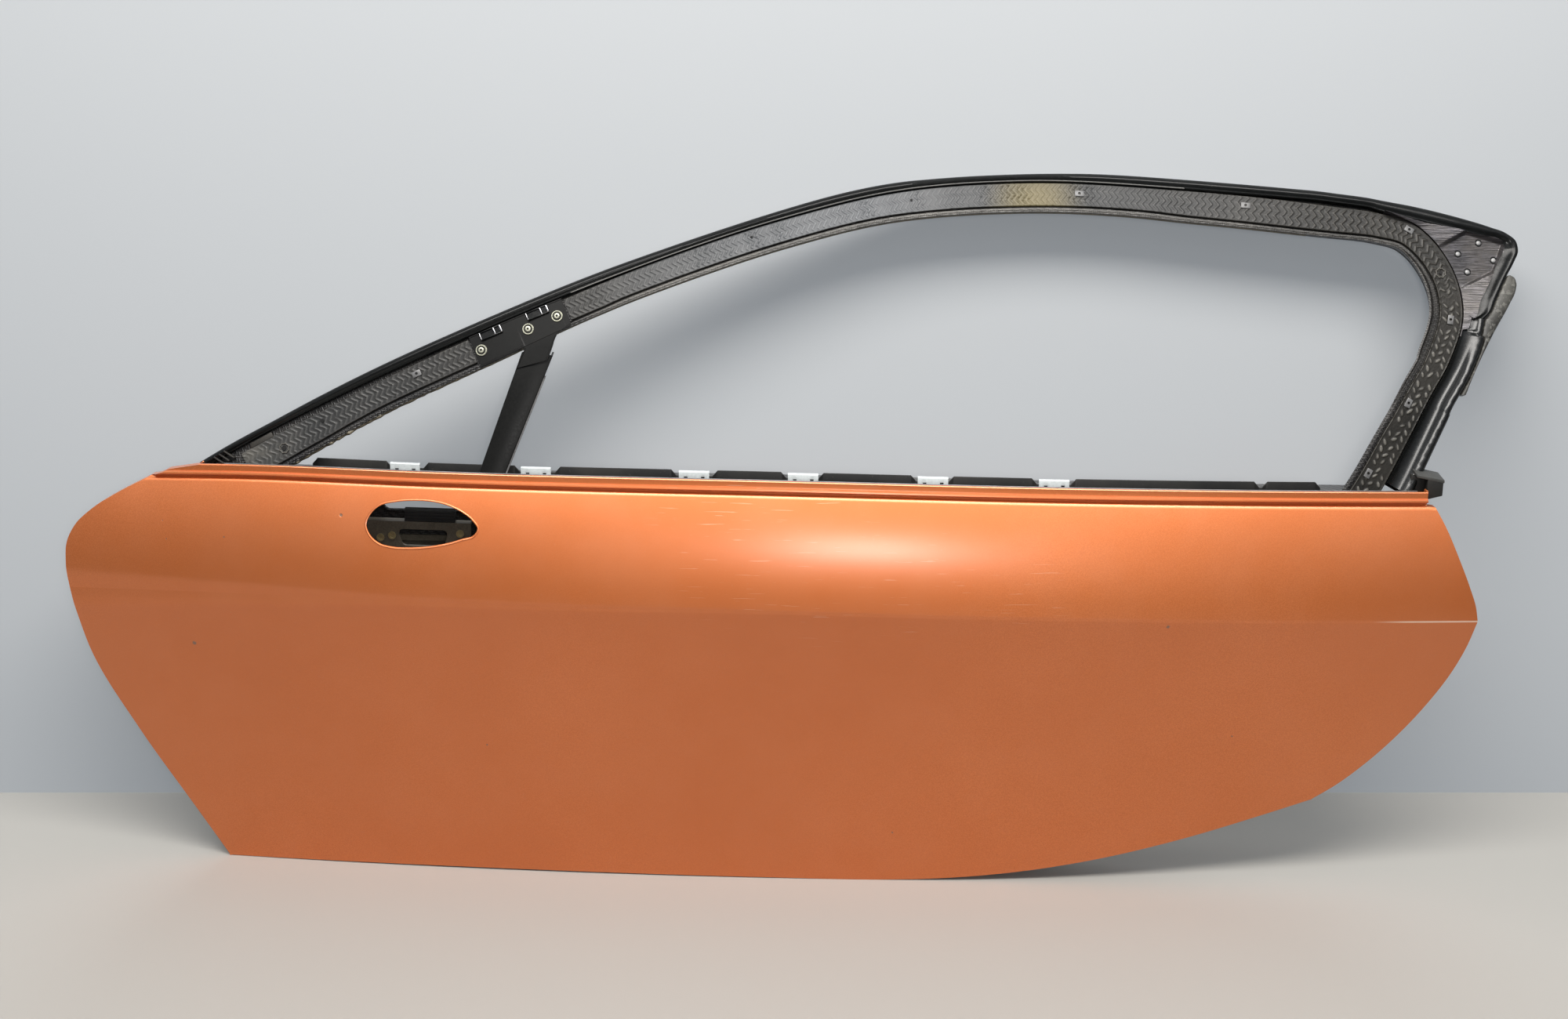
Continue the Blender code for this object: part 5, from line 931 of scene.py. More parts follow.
# painted shade: a matte black for what is only shade, inside the holes and under the screw heads
dark_hollow = finish("dark_hollow", (0.004, 0.004, 0.004), 0.8, dust=0.05, uneven=0.1)
hole_shade_disc = drum(0.0014, 0.0004, 20)
hole_shade_disc.name = "band_hole_1"
hole_shade_disc.data.materials.append(dark_hollow)
bevelled(hole_shade_disc, 0.00015, 1)
hole_places = ((0.2714, 0.4827, 1.5), (0.2319, 0.4550, 1.9), (0.7124, 0.6619, 1.0), (0.8785, 0.6970, 0.9),
               (1.4231, 0.6253, 1.2))
for disc, (x, z, size) in zip(copies(hole_shade_disc, len(hole_places)), hole_places):
    share, across = frame_seat(x, z)
    settle(disc, frame_matrix(share, across, 0.0003) @ Matrix.Diagonal((size, size, 1, 1)))
    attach(disc, "root")

bpy.ops.mesh.primitive_torus_add(major_radius=0.0046, minor_radius=0.0006, major_segments=48, minor_segments=10)
ring = bpy.context.object
for vertex in ring.data.vertices:
    turn = math.atan2(vertex.co.y, vertex.co.x)
    grow = 1.0 + 0.16 * max(math.cos(8 * turn), 0.0)
    vertex.co.x, vertex.co.y = vertex.co.x * grow, vertex.co.y * grow
ring.name = "band_ring_1"
values = ring.data.attributes.new("marks", "FLOAT", "POINT").data
values.foreach_set("value", [0.8 if vertex.co.z > 0.0002 else 0.0 for vertex in ring.data.vertices])
surface(ring, ribbed_band, 60)
for piece, (x, z) in zip(copies(ring, 2), ((1.4231, 0.6253), (0.2319, 0.4550))):
    share, across = frame_seat(x, z)
    settle(piece, frame_matrix(share, across, 0.0002))
    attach(piece, "root")


# The front foot: where the frame was cut free its mouldings are crumpled, with three upright folds over the rail's
# end and a dusty pad left in the channel behind the band's end.
folds = []
for x in (0.1640, 0.1692, 0.1755):
    fold = slab(0.0019, 0.0136, 0.0100)
    bevelled(fold, 0.0008, 2)
    share, across = frame_seat(x, 0.4450 + 0.61 * (x - 0.1720))
    settle(fold, frame_matrix(share, across, -0.0003, math.radians(28)))
    folds.append(fold)
pad = slab(0.0260, 0.0058, 0.0036)
bevelled(pad, 0.0009, 2)
share, across = frame_seat(0.2080, 0.4620)
settle(pad, frame_matrix(share, across, -0.0016))
foot_folds = join(folds + [pad])
foot_folds.name = "foot_folds"
dusty_black = finish("dusty_black", (0.026, 0.024, 0.021), 0.55, dust=0.30, dust_colour=(0.13, 0.12, 0.10), grain=500.0,
                     uneven=0.4, bump=0.2, specular=0.35)
surface(foot_folds, dusty_black, 35)
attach(foot_folds, "root")


# The roof rail: a black gloss moulding along the roof edge, bonded into the outer shell. At the rear corner it
# leaves the band, rounds the corner's tip and comes down as a wider hollowed strip to meet the pillar rail.
rail_reach = ((0.0, 0.37), (0.05, 0.34), (0.07, 0.325), (0.11, 0.376), (0.17, 0.44), (0.28, 0.44), (0.37, 0.38),
              (0.44, 0.44), (0.47, 0.42), (0.50, 0.37), (0.53, 0.365), (0.61, 0.46), (0.66, 0.47), (0.70, 0.52),
              (0.7275, 0.57), (0.753, 0.56))
rail_width, rail_gap, pillar_start = 0.0115, 0.0003, 0.8376
roof_rows, turn_row, turn_rows = 420, 455, 45
corner_outer = ((0.9378, 0.8990), (0.9659, 0.8723), (0.9967, 0.8348), (1.0191, 0.8016), (1.0310, 0.7790),
                (1.0374, 0.7520), (1.0384, 0.7200), (1.0350, 0.6850), (1.0287, 0.6368), (1.0215, 0.5737),
                (1.0151, 0.5170))
corner_inner = ((0.9402, 0.8575), (0.9655, 0.8260), (0.9904, 0.7964), (1.0129, 0.7684), (1.0228, 0.7560),
                (1.0268, 0.7440), (1.0268, 0.7250), (1.0225, 0.6850), (1.0167, 0.6320), (1.0085, 0.5600),
                (1.0020, 0.4990))
pillar_reach = ((0.8375, 0.90), (0.8435, 0.87), (0.8594, 1.02), (0.875, 1.02), (0.8924, 1.09), (0.9062, 1.12),
                (0.9167, 1.15), (0.945, 1.22))


def pillar_sides(shares):
    """The outer and inner (x, z) edges of the pillar rail."""
    outer, inner = -reach(pillar_reach, shares), -reach(shell_reach, shares) - rail_gap
    places = on_frame(shares, np.stack([outer, inner], axis=1), np.zeros((len(shares), 2)))
    return places[:, 0][:, [0, 2]], places[:, 1][:, [0, 2]]


def rail_sides():
    """The outer and inner (x, z) edges of the roof rail, and how far each row has gone from roof to return."""
    shares = np.linspace(0.024, 0.750, roof_rows)
    outer = reach(rail_reach, shares)
    inner = outer - np.minimum(outer - rail_gap, rail_width)
    roof = on_frame(shares, np.stack([-outer, -inner], axis=1), np.zeros((len(shares), 2)))[:, :, [0, 2]]
    meets = pillar_sides(np.array([pillar_start - 0.0001, pillar_start]))
    sides = []
    for k, corner in enumerate((corner_outer, corner_inner)):
        points = [tuple(roof[-4, k]), tuple(roof[-1, k])]
        points += [(x * skin_length, belt_height + h * frame_rise) for x, h in corner] + [tuple(meets[k][0])]
        sides.append(np.concatenate([roof[:, k], np.array(curve(points, 12))[13:]]))
    turned = np.clip((np.arange(len(sides[0])) - turn_row) / turn_rows, 0, 1)
    return sides[0], sides[1], turned


def strip_between(name, outer, inner, section):
    """A solid strip on the frame's face. Its section gives (share of width, metres, height) at each row."""
    rows = []
    for k, (far, near) in enumerate(zip(outer, inner)):
        way = near - far
        wide = float(np.hypot(*way))
        table = section(k)
        flat = far + np.outer(table[:, 0] * wide + table[:, 1], way / wide)
        base = np.stack([flat[:, 0], frame_y(flat[:, 0], flat[:, 1]), flat[:, 1]], axis=-1)
        rows.append(base + frame_out(flat[:, 0], flat[:, 1]) * table[:, 2:])
    return ring_loft(name, rows)


roof_table = np.array((
    (0.0, 0.0, -0.0040), (0.0, 0.0, -0.0006), (0.0, 0.0003, 0.0008), (0.0, 0.0010, 0.0022), (0.0, 0.0024, 0.0034),
    (0.0, 0.0040, 0.0040), (0.50, 0.0, 0.0041), (0.62, 0.0, 0.0039), (0.70, 0.0, 0.0034), (0.78, 0.0, 0.0027),
    (0.86, 0.0, 0.0024), (1.0, -0.0013, 0.0024), (1.0, -0.0009, 0.0031), (1.0, -0.0003, 0.0028), (1.0, 0.0, 0.0010),
    (1.0, 0.0, -0.0040)))
return_table = np.array((
    (0.0, 0.0, -0.0040), (0.0, 0.0, -0.0006), (0.0, 0.0003, 0.0008), (0.0, 0.0010, 0.0018), (0.0, 0.0022, 0.0025),
    (0.0, 0.0040, 0.0027), (0.22, 0.0020, 0.0022), (0.38, 0.0010, 0.0012), (0.52, 0.0, 0.0003), (0.64, 0.0, -0.0005),
    (0.76, 0.0, -0.0011), (0.88, 0.0, -0.0015), (1.0, -0.0016, -0.0016), (1.0, -0.0008, -0.0016), (1.0, 0.0, -0.0017),
    (1.0, 0.0, -0.0040)))
rail_outer, rail_inner, rail_turned = rail_sides()
black_gloss = finish("black_gloss", (0.0045, 0.0050, 0.0049), 0.24, dust=0.05, dust_colour=(0.06, 0.06, 0.057),
                     grain=260.0, uneven=0.2, bump=0.03, spread=0.06, specular=0.24)
roof_rail = strip_between("roof_moulding", rail_outer, rail_inner,
                          lambda k: roof_table * (1 - rail_turned[k]) + return_table * rail_turned[k])
surface(roof_rail, black_gloss, 45)
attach(roof_rail, "root")
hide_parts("roof_rail")

# a thin pale grey strip over the rail's lip between the rail and the band: a painted highlight where light falls on the
# lip's top
edge_line = frame_strip("rail_edge_line", np.linspace(0.270, 0.640, 300), lambda share: [
    (-0.0013, 0.0020), (-0.0013, 0.0030), (-0.0010, 0.0034), (-0.0006, 0.0034), (-0.0003, 0.0030), (-0.0003, 0.0020)])
grey_edge = finish("grey_edge", (0.170, 0.168, 0.160), 0.45, dust=0.2, uneven=0.3)
surface(edge_line, grey_edge, 60)
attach(edge_line, "root")


# The corner gusset: a brushed black plate riveted between the band and the rail. Its middle is pressed down flat
# round the four rivets, and the wedges left standing on either side stiffen it.
field_shares = ((0.9742, 0.7160), (1.0004, 0.7770), (1.0127, 0.7600), (1.0256, 0.7400), (1.0180, 0.6548),
                (0.9816, 0.5802))
field = np.array([(x * skin_length, belt_height + h * frame_rise) for x, h in field_shares])


def from_outline(x, z, points):
    """Distance from a convex outline whose points run clockwise, less than zero inside it."""
    away = np.full(x.shape, -1.0)
    for first, second in zip(points, np.roll(points, -1, axis=0)):
        way = (second - first) / np.hypot(*(second - first))
        away = np.maximum(away, (z - first[1]) * way[0] - (x - first[0]) * way[1])
    return away


rail_side = np.concatenate([rail_inner[roof_rows + 12:], pillar_sides(np.linspace(pillar_start, 0.8485, 16))[1]])
gusset_shares = np.linspace(0.779, 0.8475, len(rail_side))
band_side = on_frame(gusset_shares, -0.0003, 0.0)[:, 0][:, [0, 2]]
way = (rail_side - band_side) / np.linalg.norm(rail_side - band_side, axis=1)[:, None]
part = np.linspace(0.0, 1.0, 60)[None, :, None]
flat = band_side[:, None] * (1 - part) + (rail_side - way * 0.0003)[:, None] * part
x, z = flat[..., 0], flat[..., 1]
ramp = np.clip(from_outline(x, z, field) / 0.0032, 0, 1)
across = np.linalg.norm(flat - band_side[:, None], axis=-1)
tilt = np.clip(0.0008 + across * 0.22, 0.0, 0.0072)
out = 0.0004 + tilt * ramp * ramp * (3 - 2 * ramp)
base = np.stack([x, frame_y(x, z), z], axis=-1)
top = base + frame_out(x, z) * out[..., None]
low = base + frame_out(x, z) * -0.0037
gusset = ring_loft("gusset_pressing", np.concatenate([low[:, :1], top, low[:, -1:]], axis=1))


def brushed_colour(tree):
    """Grey-violet lacquer with fine brushed lines that rise to the rear."""
    place = node(tree, "TexCoord").outputs["Object"]
    turned = node(tree, "Mapping", {"Vector": place, "Rotation": (0, 0.45, 0), "Scale": (40.0, 40.0, 900.0)})
    lines = noise(tree, turned.outputs[0], 1.0, 2.0)
    broad = fade(tree, noise(tree, place, 45.0, 3.0), 0.35, 0.7)
    base = mix_colour(tree, fade(tree, lines, 0.35, 0.7), (0.030, 0.029, 0.032, 1.0), (0.092, 0.088, 0.097, 1.0))
    return mix_colour(tree, times(tree, broad, 0.4), base, (0.058, 0.050, 0.044, 1.0)), lines


brushed_black = finish("brushed_black", brushed_colour, 0.34, metallic=0.55, dust=0.16, grain=300.0, uneven=0.2)
surface(gusset, brushed_black, 40)
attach(gusset, "root")
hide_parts("corner_gusset")


# its rivets, each pulled down into a dark dished washer
def surface_matrix(x, z, out):
    """Local Z points out of the frame's face at a door place. The origin is in world coordinates."""
    up = Vector(frame_out(x, z))
    side = Vector((0, 0, 1)).cross(up).normalized()
    rows = Matrix((side, up.cross(side), up)).transposed().to_4x4()
    rows.translation = Vector((x, float(frame_y(x, z)), z)) + up * out - door_origin
    return rows


bpy.ops.mesh.primitive_uv_sphere_add(segments=24, ring_count=14, radius=0.0024)
rivet = bpy.context.object
rivet.scale = (1.0, 1.0, 0.42)
bpy.ops.object.transform_apply(scale=True)
rivet.name = "gusset_stud_1"
dull_rivet = finish("dull_rivet", (0.36, 0.36, 0.36), 0.50, metallic=0.3, dust=0.2, uneven=0.2)
surface(rivet, dull_rivet, 60)
bpy.ops.mesh.primitive_torus_add(major_radius=0.0033, minor_radius=0.0007, major_segments=28, minor_segments=8)
washer = bpy.context.object
washer.scale = (1.0, 1.0, 0.5)
bpy.ops.object.transform_apply(scale=True)
washer.name = "gusset_washer_1"
surface(washer, black_gloss, 60)
rivets, washers = copies(rivet, 4), copies(washer, 4)
for k, (x, h) in enumerate(((1.0097, 0.7492), (0.9943, 0.7142), (1.0197, 0.6911), (1.0003, 0.6539))):
    seat = surface_matrix(x * skin_length, belt_height + h * frame_rise, 0.0005)
    settle(rivets[k], seat)
    settle(washers[k], seat)
    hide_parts("gusset_rivet_%d" % (k + 1))
    for piece, slot in ((rivets[k], "bare_metal"), (washers[k], "black_gloss")):
        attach(piece, "root")


# The pillar rail: a black gloss moulding down the rear of the window, hollow beside the band and rolled into a
# tube at its outer edge. The seal carrier beside it is a grey moulded strip with a rounded top.
pillar_table = np.array((
    (0.0, 0.0, -shell_depth), (0.0, 0.0, -0.0030), (0.02, 0.0, -0.0006), (0.06, 0.0, 0.0014), (0.12, 0.0, 0.0026),
    (0.19, 0.0, 0.0030), (0.27, 0.0, 0.0025), (0.35, 0.0, 0.0010), (0.42, 0.0, -0.0012), (0.50, 0.0, -0.0036),
    (0.62, 0.0, -0.0048), (0.80, 0.0, -0.0048), (0.90, 0.0, -0.0036), (0.97, 0.0, -0.0010), (1.0, 0.0, -0.0004),
    (1.0, 0.0, -shell_depth)))
pillar_shares = np.linspace(pillar_start, 0.938, 170)
pillar_outer, pillar_inner = pillar_sides(pillar_shares)
lumpy = np.interp(pillar_shares, np.linspace(0.83, 0.94, 60), np.random.default_rng(11).normal(0.0, 1.0, 60))
hump = np.zeros((16, 3))
hump[3:7, 2] = 0.00016


def pillar_section(k):
    """The roof rail's return section where the two rails meet, turning into the pillar's own."""
    share = min(max((pillar_shares[k] - pillar_start) / 0.030, 0.0), 1.0)
    share = share * share * (3 - 2 * share)
    meets = return_table.copy()
    meets[[0, -1], 2] = -shell_depth
    return meets * (1 - share) + (pillar_table + hump * lumpy[k]) * share


pillar = strip_between("pillar_moulding", pillar_outer, pillar_inner, pillar_section)
pillar_black = finish("pillar_black", (0.0055, 0.0058, 0.0056), 0.26, dust=0.07, dust_colour=(0.07, 0.07, 0.065),
                      grain=300.0, uneven=0.3, bump=0.02, spread=0.04, specular=0.55)
surface(pillar, pillar_black, 45)
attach(pillar, "root")
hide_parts("pillar_rail")

seal_far_shares = ((1.0322, 0.6410), (1.0350, 0.6330), (1.0362, 0.6180), (1.0352, 0.5880), (1.0303, 0.5454),
                   (1.0172, 0.4462), (1.0062, 0.3518), (1.0000, 0.2900), (0.9955, 0.2400))
seal_z = belt_height + np.linspace(0.6405, 0.245, 200) * frame_rise
far_line = np.array(curve([(x * skin_length, belt_height + h * frame_rise) for x, h in seal_far_shares], 16))
near_line = np.concatenate([rail_outer[roof_rows + 60:], pillar_outer])
seal_far = np.interp(seal_z, far_line[::-1, 1], far_line[::-1, 0])
seal_near = np.interp(seal_z, near_line[::-1, 1], near_line[::-1, 0]) + 0.0006
seal_table = [(0.0, 0.0, -0.0105)]
for turn in np.linspace(0.0, 1.0, 11):
    seal_table.append((0.5 - 0.5 * math.cos(math.pi * turn), 0.0, -0.0036 + 0.0040 * math.sin(math.pi * turn) ** 0.5))
seal_table = np.array(seal_table + [(1.0, 0.0, -0.0105)])


def fibre_colour(tree):
    """Grey moulded fibre: short pale strands in an olive-black ground."""
    place = node(tree, "TexCoord").outputs["Object"]
    strands = node(tree, "TexVoronoi", {"Vector": place, "Scale": 330.0}, distance="MANHATTAN").outputs["Color"]
    strand = node(tree, "SeparateColor", {0: strands}).outputs[0]
    share = times(tree, fade(tree, strand, 0.55, 1.0), 0.75)
    return mix_colour(tree, share, (0.030, 0.029, 0.025, 1.0), (0.150, 0.147, 0.130, 1.0)), strand


moulded_fibre = finish("moulded_fibre", fibre_colour, 0.45, dust=0.30, dust_colour=(0.25, 0.24, 0.21), grain=500.0,
                       uneven=0.3, bump=0.25)
seal = strip_between("seal_carrier", np.stack([seal_far, seal_z], axis=1), np.stack([seal_near, seal_z], axis=1),
                     lambda k: seal_table)
surface(seal, moulded_fibre, 50)
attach(seal, "root")
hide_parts("rear_seal_carrier")


# The divider bracket: a satin black T-shaped plate between the two bands, with a raised border, held by three
# socket screws on dished washers. Two spring clips for the trim are hooked over its upper edge.
def bracket_section(share):
    """The plate across the channel and over the lip, whose border is lower beside the post."""
    width, foot, left = frame_edges(share)
    width, foot = width - 0.0003, foot - 0.0004
    lip = 0.0010 if 0.2335 < share < 0.2600 else 0.0014
    return [(0.0, -0.0030), (0.0, 0.0011), (0.0003, 0.0014), (0.0012, 0.0014), (0.0018, 0.0010), (width * 0.5, 0.0010),
            (foot - 0.0018, 0.0010), (foot - 0.0012, lip), (foot - 0.0003, lip), (foot, lip - 0.0003), (foot, 0.0003),
            (width, 0.0003), (width, -0.0030)]


satin_black = finish("satin_black", (0.0045, 0.0045, 0.0042), 0.38, dust=0.04, dust_colour=(0.07, 0.07, 0.065),
                     grain=500.0, uneven=0.2, bump=0.05, spread=0.08, specular=0.16)
bracket = frame_strip("bracket_plate", np.linspace(0.2050, 0.2635, 160), bracket_section)

# the plate's arm, which reaches down over the top of the divider post
arm_left = ((0.4690, 0.5560), (0.4755, 0.5585), (0.4798, 0.5580), (0.4812, 0.5556), (0.4803, 0.5524), (0.4784, 0.5484),
            (0.4733, 0.5375))
arm_right = ((0.5290, 0.5800), (0.5210, 0.5752), (0.5160, 0.5712), (0.5135, 0.5670), (0.5122, 0.5640),
             (0.5112, 0.5606), (0.5058, 0.5460))
arm_table = np.array((
    (0.0, 0.0, 0.0003), (0.0, 0.0, 0.0011), (0.0, 0.0003, 0.0014), (0.0, 0.0012, 0.0014), (0.0, 0.0018, 0.0010),
    (1.0, -0.0018, 0.0010), (1.0, -0.0012, 0.0014), (1.0, -0.0003, 0.0014), (1.0, 0.0, 0.0011), (1.0, 0.0, 0.0003)))
arm = strip_between("bracket_arm", np.array(curve(arm_left, 8)), np.array(curve(arm_right, 8)), lambda k: arm_table)
bracket = join([bracket, arm])
surface(bracket, satin_black, 30)
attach(bracket, "root")
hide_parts("divider_bracket")

screw = drum(0.0060, 0.0008, 40, 0.0004)
bevelled(screw, 0.0003, 2)
bpy.ops.mesh.primitive_torus_add(major_radius=0.0052, minor_radius=0.0007, major_segments=40, minor_segments=10,
                                 location=(0, 0, 0.0009))
bpy.ops.object.transform_apply(location=True)
screw = join([screw, bpy.context.object])
head = drum(0.0031, 0.0020, 36, 0.0016)
bevelled(head, 0.0008, 3)
cut_out(head, drum(0.0014, 0.0030, 6, 0.0026))
screw = join([screw, head])
screw.name = "socket_screw_1"
bright_steel = finish("bright_steel", (0.52, 0.52, 0.50), 0.26, metallic=0.95, dust=0.18, uneven=0.1, bump=0.1)
passivated = finish("passivated", (0.44, 0.44, 0.35), 0.34, metallic=0.6, dust=0.10, uneven=0.15, bump=0.1)
surface(screw, passivated, 35)
# a painted shadow: a dark drum under each screw's head and a dark hex in its socket, where the head casts shade
shadow = join([drum(0.0044, 0.0012, 32, 0.0006), drum(0.0013, 0.0022, 6, 0.0012)])
shadow.name = "screw_recess_1"
shadow.data.materials.append(dark_hollow)
bevelled(shadow, 0.0001, 1)
shadows, screws = copies(shadow, 3), copies(screw, 3)
for k, (share, across) in enumerate(((0.2090, 0.0182), (0.2390, 0.0172), (0.2575, 0.0164))):
    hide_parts("bracket_screw_%d" % (k + 1))
    for piece, slot in ((screws[k], "bare_metal"), (shadows[k], "black_rubber")):
        settle(piece, frame_matrix(share, across, 0.0010))
        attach(piece, "root")

arms = []
for x, wide in ((-0.0112, 0.0010), (0.0040, 0.0020), (0.0110, 0.0024)):
    arm = slab(wide, 0.0080, 0.0030, 0.0015)
    arm.data.transform(Matrix.Translation((x, 0, 0)))
    bevelled(arm, min(wide * 0.45, 0.0009), 4)
    arms.append(arm)
clip = join(arms)
clip.name = "spring_clip_1"
spring_steel = finish("spring_steel", (0.36, 0.36, 0.37), 0.20, metallic=1.0, dust=0.05, uneven=0.1, bump=0.03)
surface(clip, spring_steel, 50)
bars = [slab(0.0228, 0.0072, 0.0008, 0.0004)]
for y in (-0.0038, 0.0038):
    bar = slab(0.0236, 0.0011, 0.0024, 0.0012)
    bar.data.transform(Matrix.Translation((0, y, 0)))
    bevelled(bar, 0.0004, 2)
    bars.append(bar)
clip_frame = join(bars)
clip_frame.name = "clip_frame_1"
surface(clip_frame, black_gloss, 35)
clips, clip_frames = copies(clip, 2), copies(clip_frame, 2)
for k, share in enumerate((0.2180, 0.2475)):
    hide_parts("trim_clip_%d" % (k + 1))
    for piece, slot in ((clips[k], "bare_metal"), (clip_frames[k], "black_gloss")):
        settle(piece, frame_matrix(share, 0.0052, 0.0011))
        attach(piece, "root")


# The divider post: a black pressed channel between the windows, its closed web outboard and its flanges turned in.
# A thin bright edge strip shows along its rear side.
top, bottom = Vector((0.3408 * skin_length, belt_height + 0.378 * frame_rise)), Vector((0.3063 * skin_length, 0))
bottom.y = belt_at(bottom.x) - 0.004
post_rows, strip_rows, web = 41, 34, 0.002
rings, strip_rings = [], []
for k in range(post_rows):
    share = k / (post_rows - 1)
    z = bottom.y + (top.y - bottom.y) * share
    x = bottom.x + (top.x - bottom.x) * share
    half, deep = (0.0266 + 0.0064 * share) / 2, 0.0140
    near = float(frame_y(x, z)) + 0.0016
    ring = [(-half, deep), (-half, 0.0014), (-half + 0.0004, 0.0004), (-half + 0.0014, 0.0), (half - 0.0014, 0.0),
            (half - 0.0004, 0.0004), (half, 0.0014), (half, deep), (half - web, deep), (half - web, web),
            (-half + web, web), (-half + web, deep)]
    rings.append([(x + a, near + b, z) for a, b in ring])
    edge = [(0.0, 0.0), (0.0009, -0.0004), (0.0018, 0.0), (0.0018, 0.0100), (0.0, 0.0100)]
    strip_rings.append([(x + half - 0.0002 + a, near + 0.0010 + b, z) for a, b in edge])
post = ring_loft("post_channel", rings)
surface(post, satin_black, 30)
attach(post, "root")
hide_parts("divider_post")
edge_strip = ring_loft("post_edge_strip", strip_rings[:strip_rows])
surface(edge_strip, zinc_plated, 30)
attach(edge_strip, "root")


# The belt: a closing beam under the frame's feet, an inner flange of moulded fibre with raised segments, six
# plated spring clips in its gaps, and a stiffener behind the painted strip.
def belt_strip(name, places, section):
    """A solid along the belt from its (inboard, up) points at each x."""
    return ring_loft(name, [[(x, plan(x) + a, float(belt_at(x)) + b) for a, b in section(x)] for x in places])


flange_near, flange_far = 0.0470, 0.0492
segments = ((0.1820, 0.2320), (0.2624, 0.3241), (0.3569, 0.4355), (0.4685, 0.5130), (0.5431, 0.6045),
            (0.6346, 0.6894), (0.7207, 0.8465), (0.8560, 0.8900))
heights = []
for start, end in segments:
    start, end = start * skin_length, end * skin_length
    heights += [(start - 0.0055, 0.0050), (start, 0.0112), (end, 0.0112), (end + 0.0055, 0.0050)]
places = sorted(set([x for x, height in heights] + list(np.linspace(heights[0][0], heights[-1][0], 420))))


def flange_section(x):
    """An upright wall with a rounded top, as tall as its segment at x, and a foot turned inboard."""
    tall = float(np.interp(x, [h[0] for h in heights], [h[1] for h in heights]))
    return [(flange_near, -0.0040), (flange_near, tall - 0.0006), (0.0473, tall - 0.0001), (0.0480, tall),
            (0.0487, tall - 0.0001), (flange_far, tall - 0.0006), (flange_far, -0.0012), (0.0500, -0.0018),
            (0.0630, -0.0018), (0.0630, -0.0040)]


inner_flange = belt_strip("inner_flange", places, flange_section)
moulded_black = finish("moulded_black", (0.012, 0.012, 0.012), 0.50, dust=0.20, dust_colour=(0.13, 0.12, 0.10),
                       grain=1400.0, uneven=0.15, bump=0.35, specular=0.35)
surface(inner_flange, moulded_black, 35)
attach(inner_flange, "root")
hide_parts("inner_belt")

silver_clip = finish("silver_clip", (0.62, 0.66, 0.66), 0.42, metallic=0.2, dust=0.22, dust_colour=(0.45, 0.45, 0.42),
                     uneven=0.12, bump=0.15)
for k, share in enumerate((0.2455, 0.3394, 0.4517, 0.5286, 0.6199, 0.7051)):
    middle = share * skin_length
    crown, foot = 0.0094, -0.0012
    near, far = flange_near, flange_far
    section = [(near - 0.0013, foot), (near - 0.0013, crown - 0.0004), (near - 0.0009, crown + 0.0003),
               (near - 0.0003, crown + 0.0006), (far + 0.0003, crown + 0.0006), (far + 0.0009, crown + 0.0003),
               (far + 0.0013, crown - 0.0004), (far + 0.0013, foot), (far + 0.0005, foot),
               (far + 0.0005, crown - 0.0004), (near - 0.0005, crown - 0.0004), (near - 0.0005, foot)]
    clip = belt_strip("flange_clip_%d" % (k + 1), np.linspace(middle - 0.0155, middle + 0.0155, 9), lambda x: section)
    for notch in (-0.0085, 0.0090):
        start, end = middle + notch - 0.0018, middle + notch + 0.0018
        low, high = belt_at(middle) + 0.0010, belt_at(middle) + 0.0046
        cut_out(clip, prism([(start, low), (end, low), (end, high), (start, high)],
                            plan(middle) + near - 0.003, plan(middle) + near + 0.0008))
    surface(clip, silver_clip, 35)
    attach(clip, "root")
    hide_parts("belt_clip_%d" % (k + 1))


def dress(name, material, width=0.0, angle=28):
    """Gives a CAD node its finish, its points merged and its edges broken by live modifiers."""
    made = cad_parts[name]
    for slot in made.material_slots:
        slot.material = material
    if not made.material_slots:
        made.data.materials.append(material)
    weld = made.modifiers.new("weld", "WELD")
    weld.merge_threshold = 0.00002
    if width:
        edge = made.modifiers.new("edges", "BEVEL")
        edge.width = width
        edge.segments = 2
        edge.limit_method = "ANGLE"
        edge.angle_limit = math.radians(angle)
        edge.harden_normals = False


galvanised = finish("galvanised", (0.30, 0.30, 0.31), 0.46, metallic=0.75, dust=0.25, grain=120.0, uneven=0.25,
                    bump=0.15)
dress("belt_reinforcement", carbon_fibre, 0.0005)
dress("outer_belt_stiffener", galvanised, 0.0003)

# the end block: a black moulded stop at the rear foot, with a lighter cap that falls to the rear
low, high = [Vector(corner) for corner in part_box("belt_end_block")]
middle, size = (low + high) / 2 + Vector((-0.007, 0, 0.011)), high - low
cap_fall, foot_rise = 0.22, 0.25
end_block = slab(size.x * 0.68, size.y * 0.96, size.z * 0.86)
end_root = slab(size.x * 0.80, size.y * 0.50, size.z * 0.84)
end_root.data.transform(Matrix.Translation((-size.x * 0.52, size.y * 0.2, -size.z * 0.12)))
end_block = join([end_block, end_root])
for vertex in end_block.data.vertices:
    vertex.co.z -= (cap_fall if vertex.co.z > 0 else -foot_rise) * vertex.co.x
bevelled(end_block, 0.0008, 2)
settle(end_block, Matrix.Translation(middle - Vector((0, 0, size.z * 0.06))))
end_block.name = "end_block"
end_cap = slab(size.x * 1.20, size.y * 0.98, size.z * 0.16, size.z * 0.40)
for vertex in end_cap.data.vertices:
    vertex.co.x -= size.x * 0.22
    vertex.co.z -= cap_fall * vertex.co.x
bevelled(end_cap, 0.0008, 2)
settle(end_cap, Matrix.Translation(middle))
end_cap.name = "end_block_cap"
worn_cap = finish("worn_cap", (0.055, 0.055, 0.052), 0.5, dust=0.25, dust_colour=(0.12, 0.12, 0.11), grain=900.0,
                  uneven=0.2, bump=0.3)
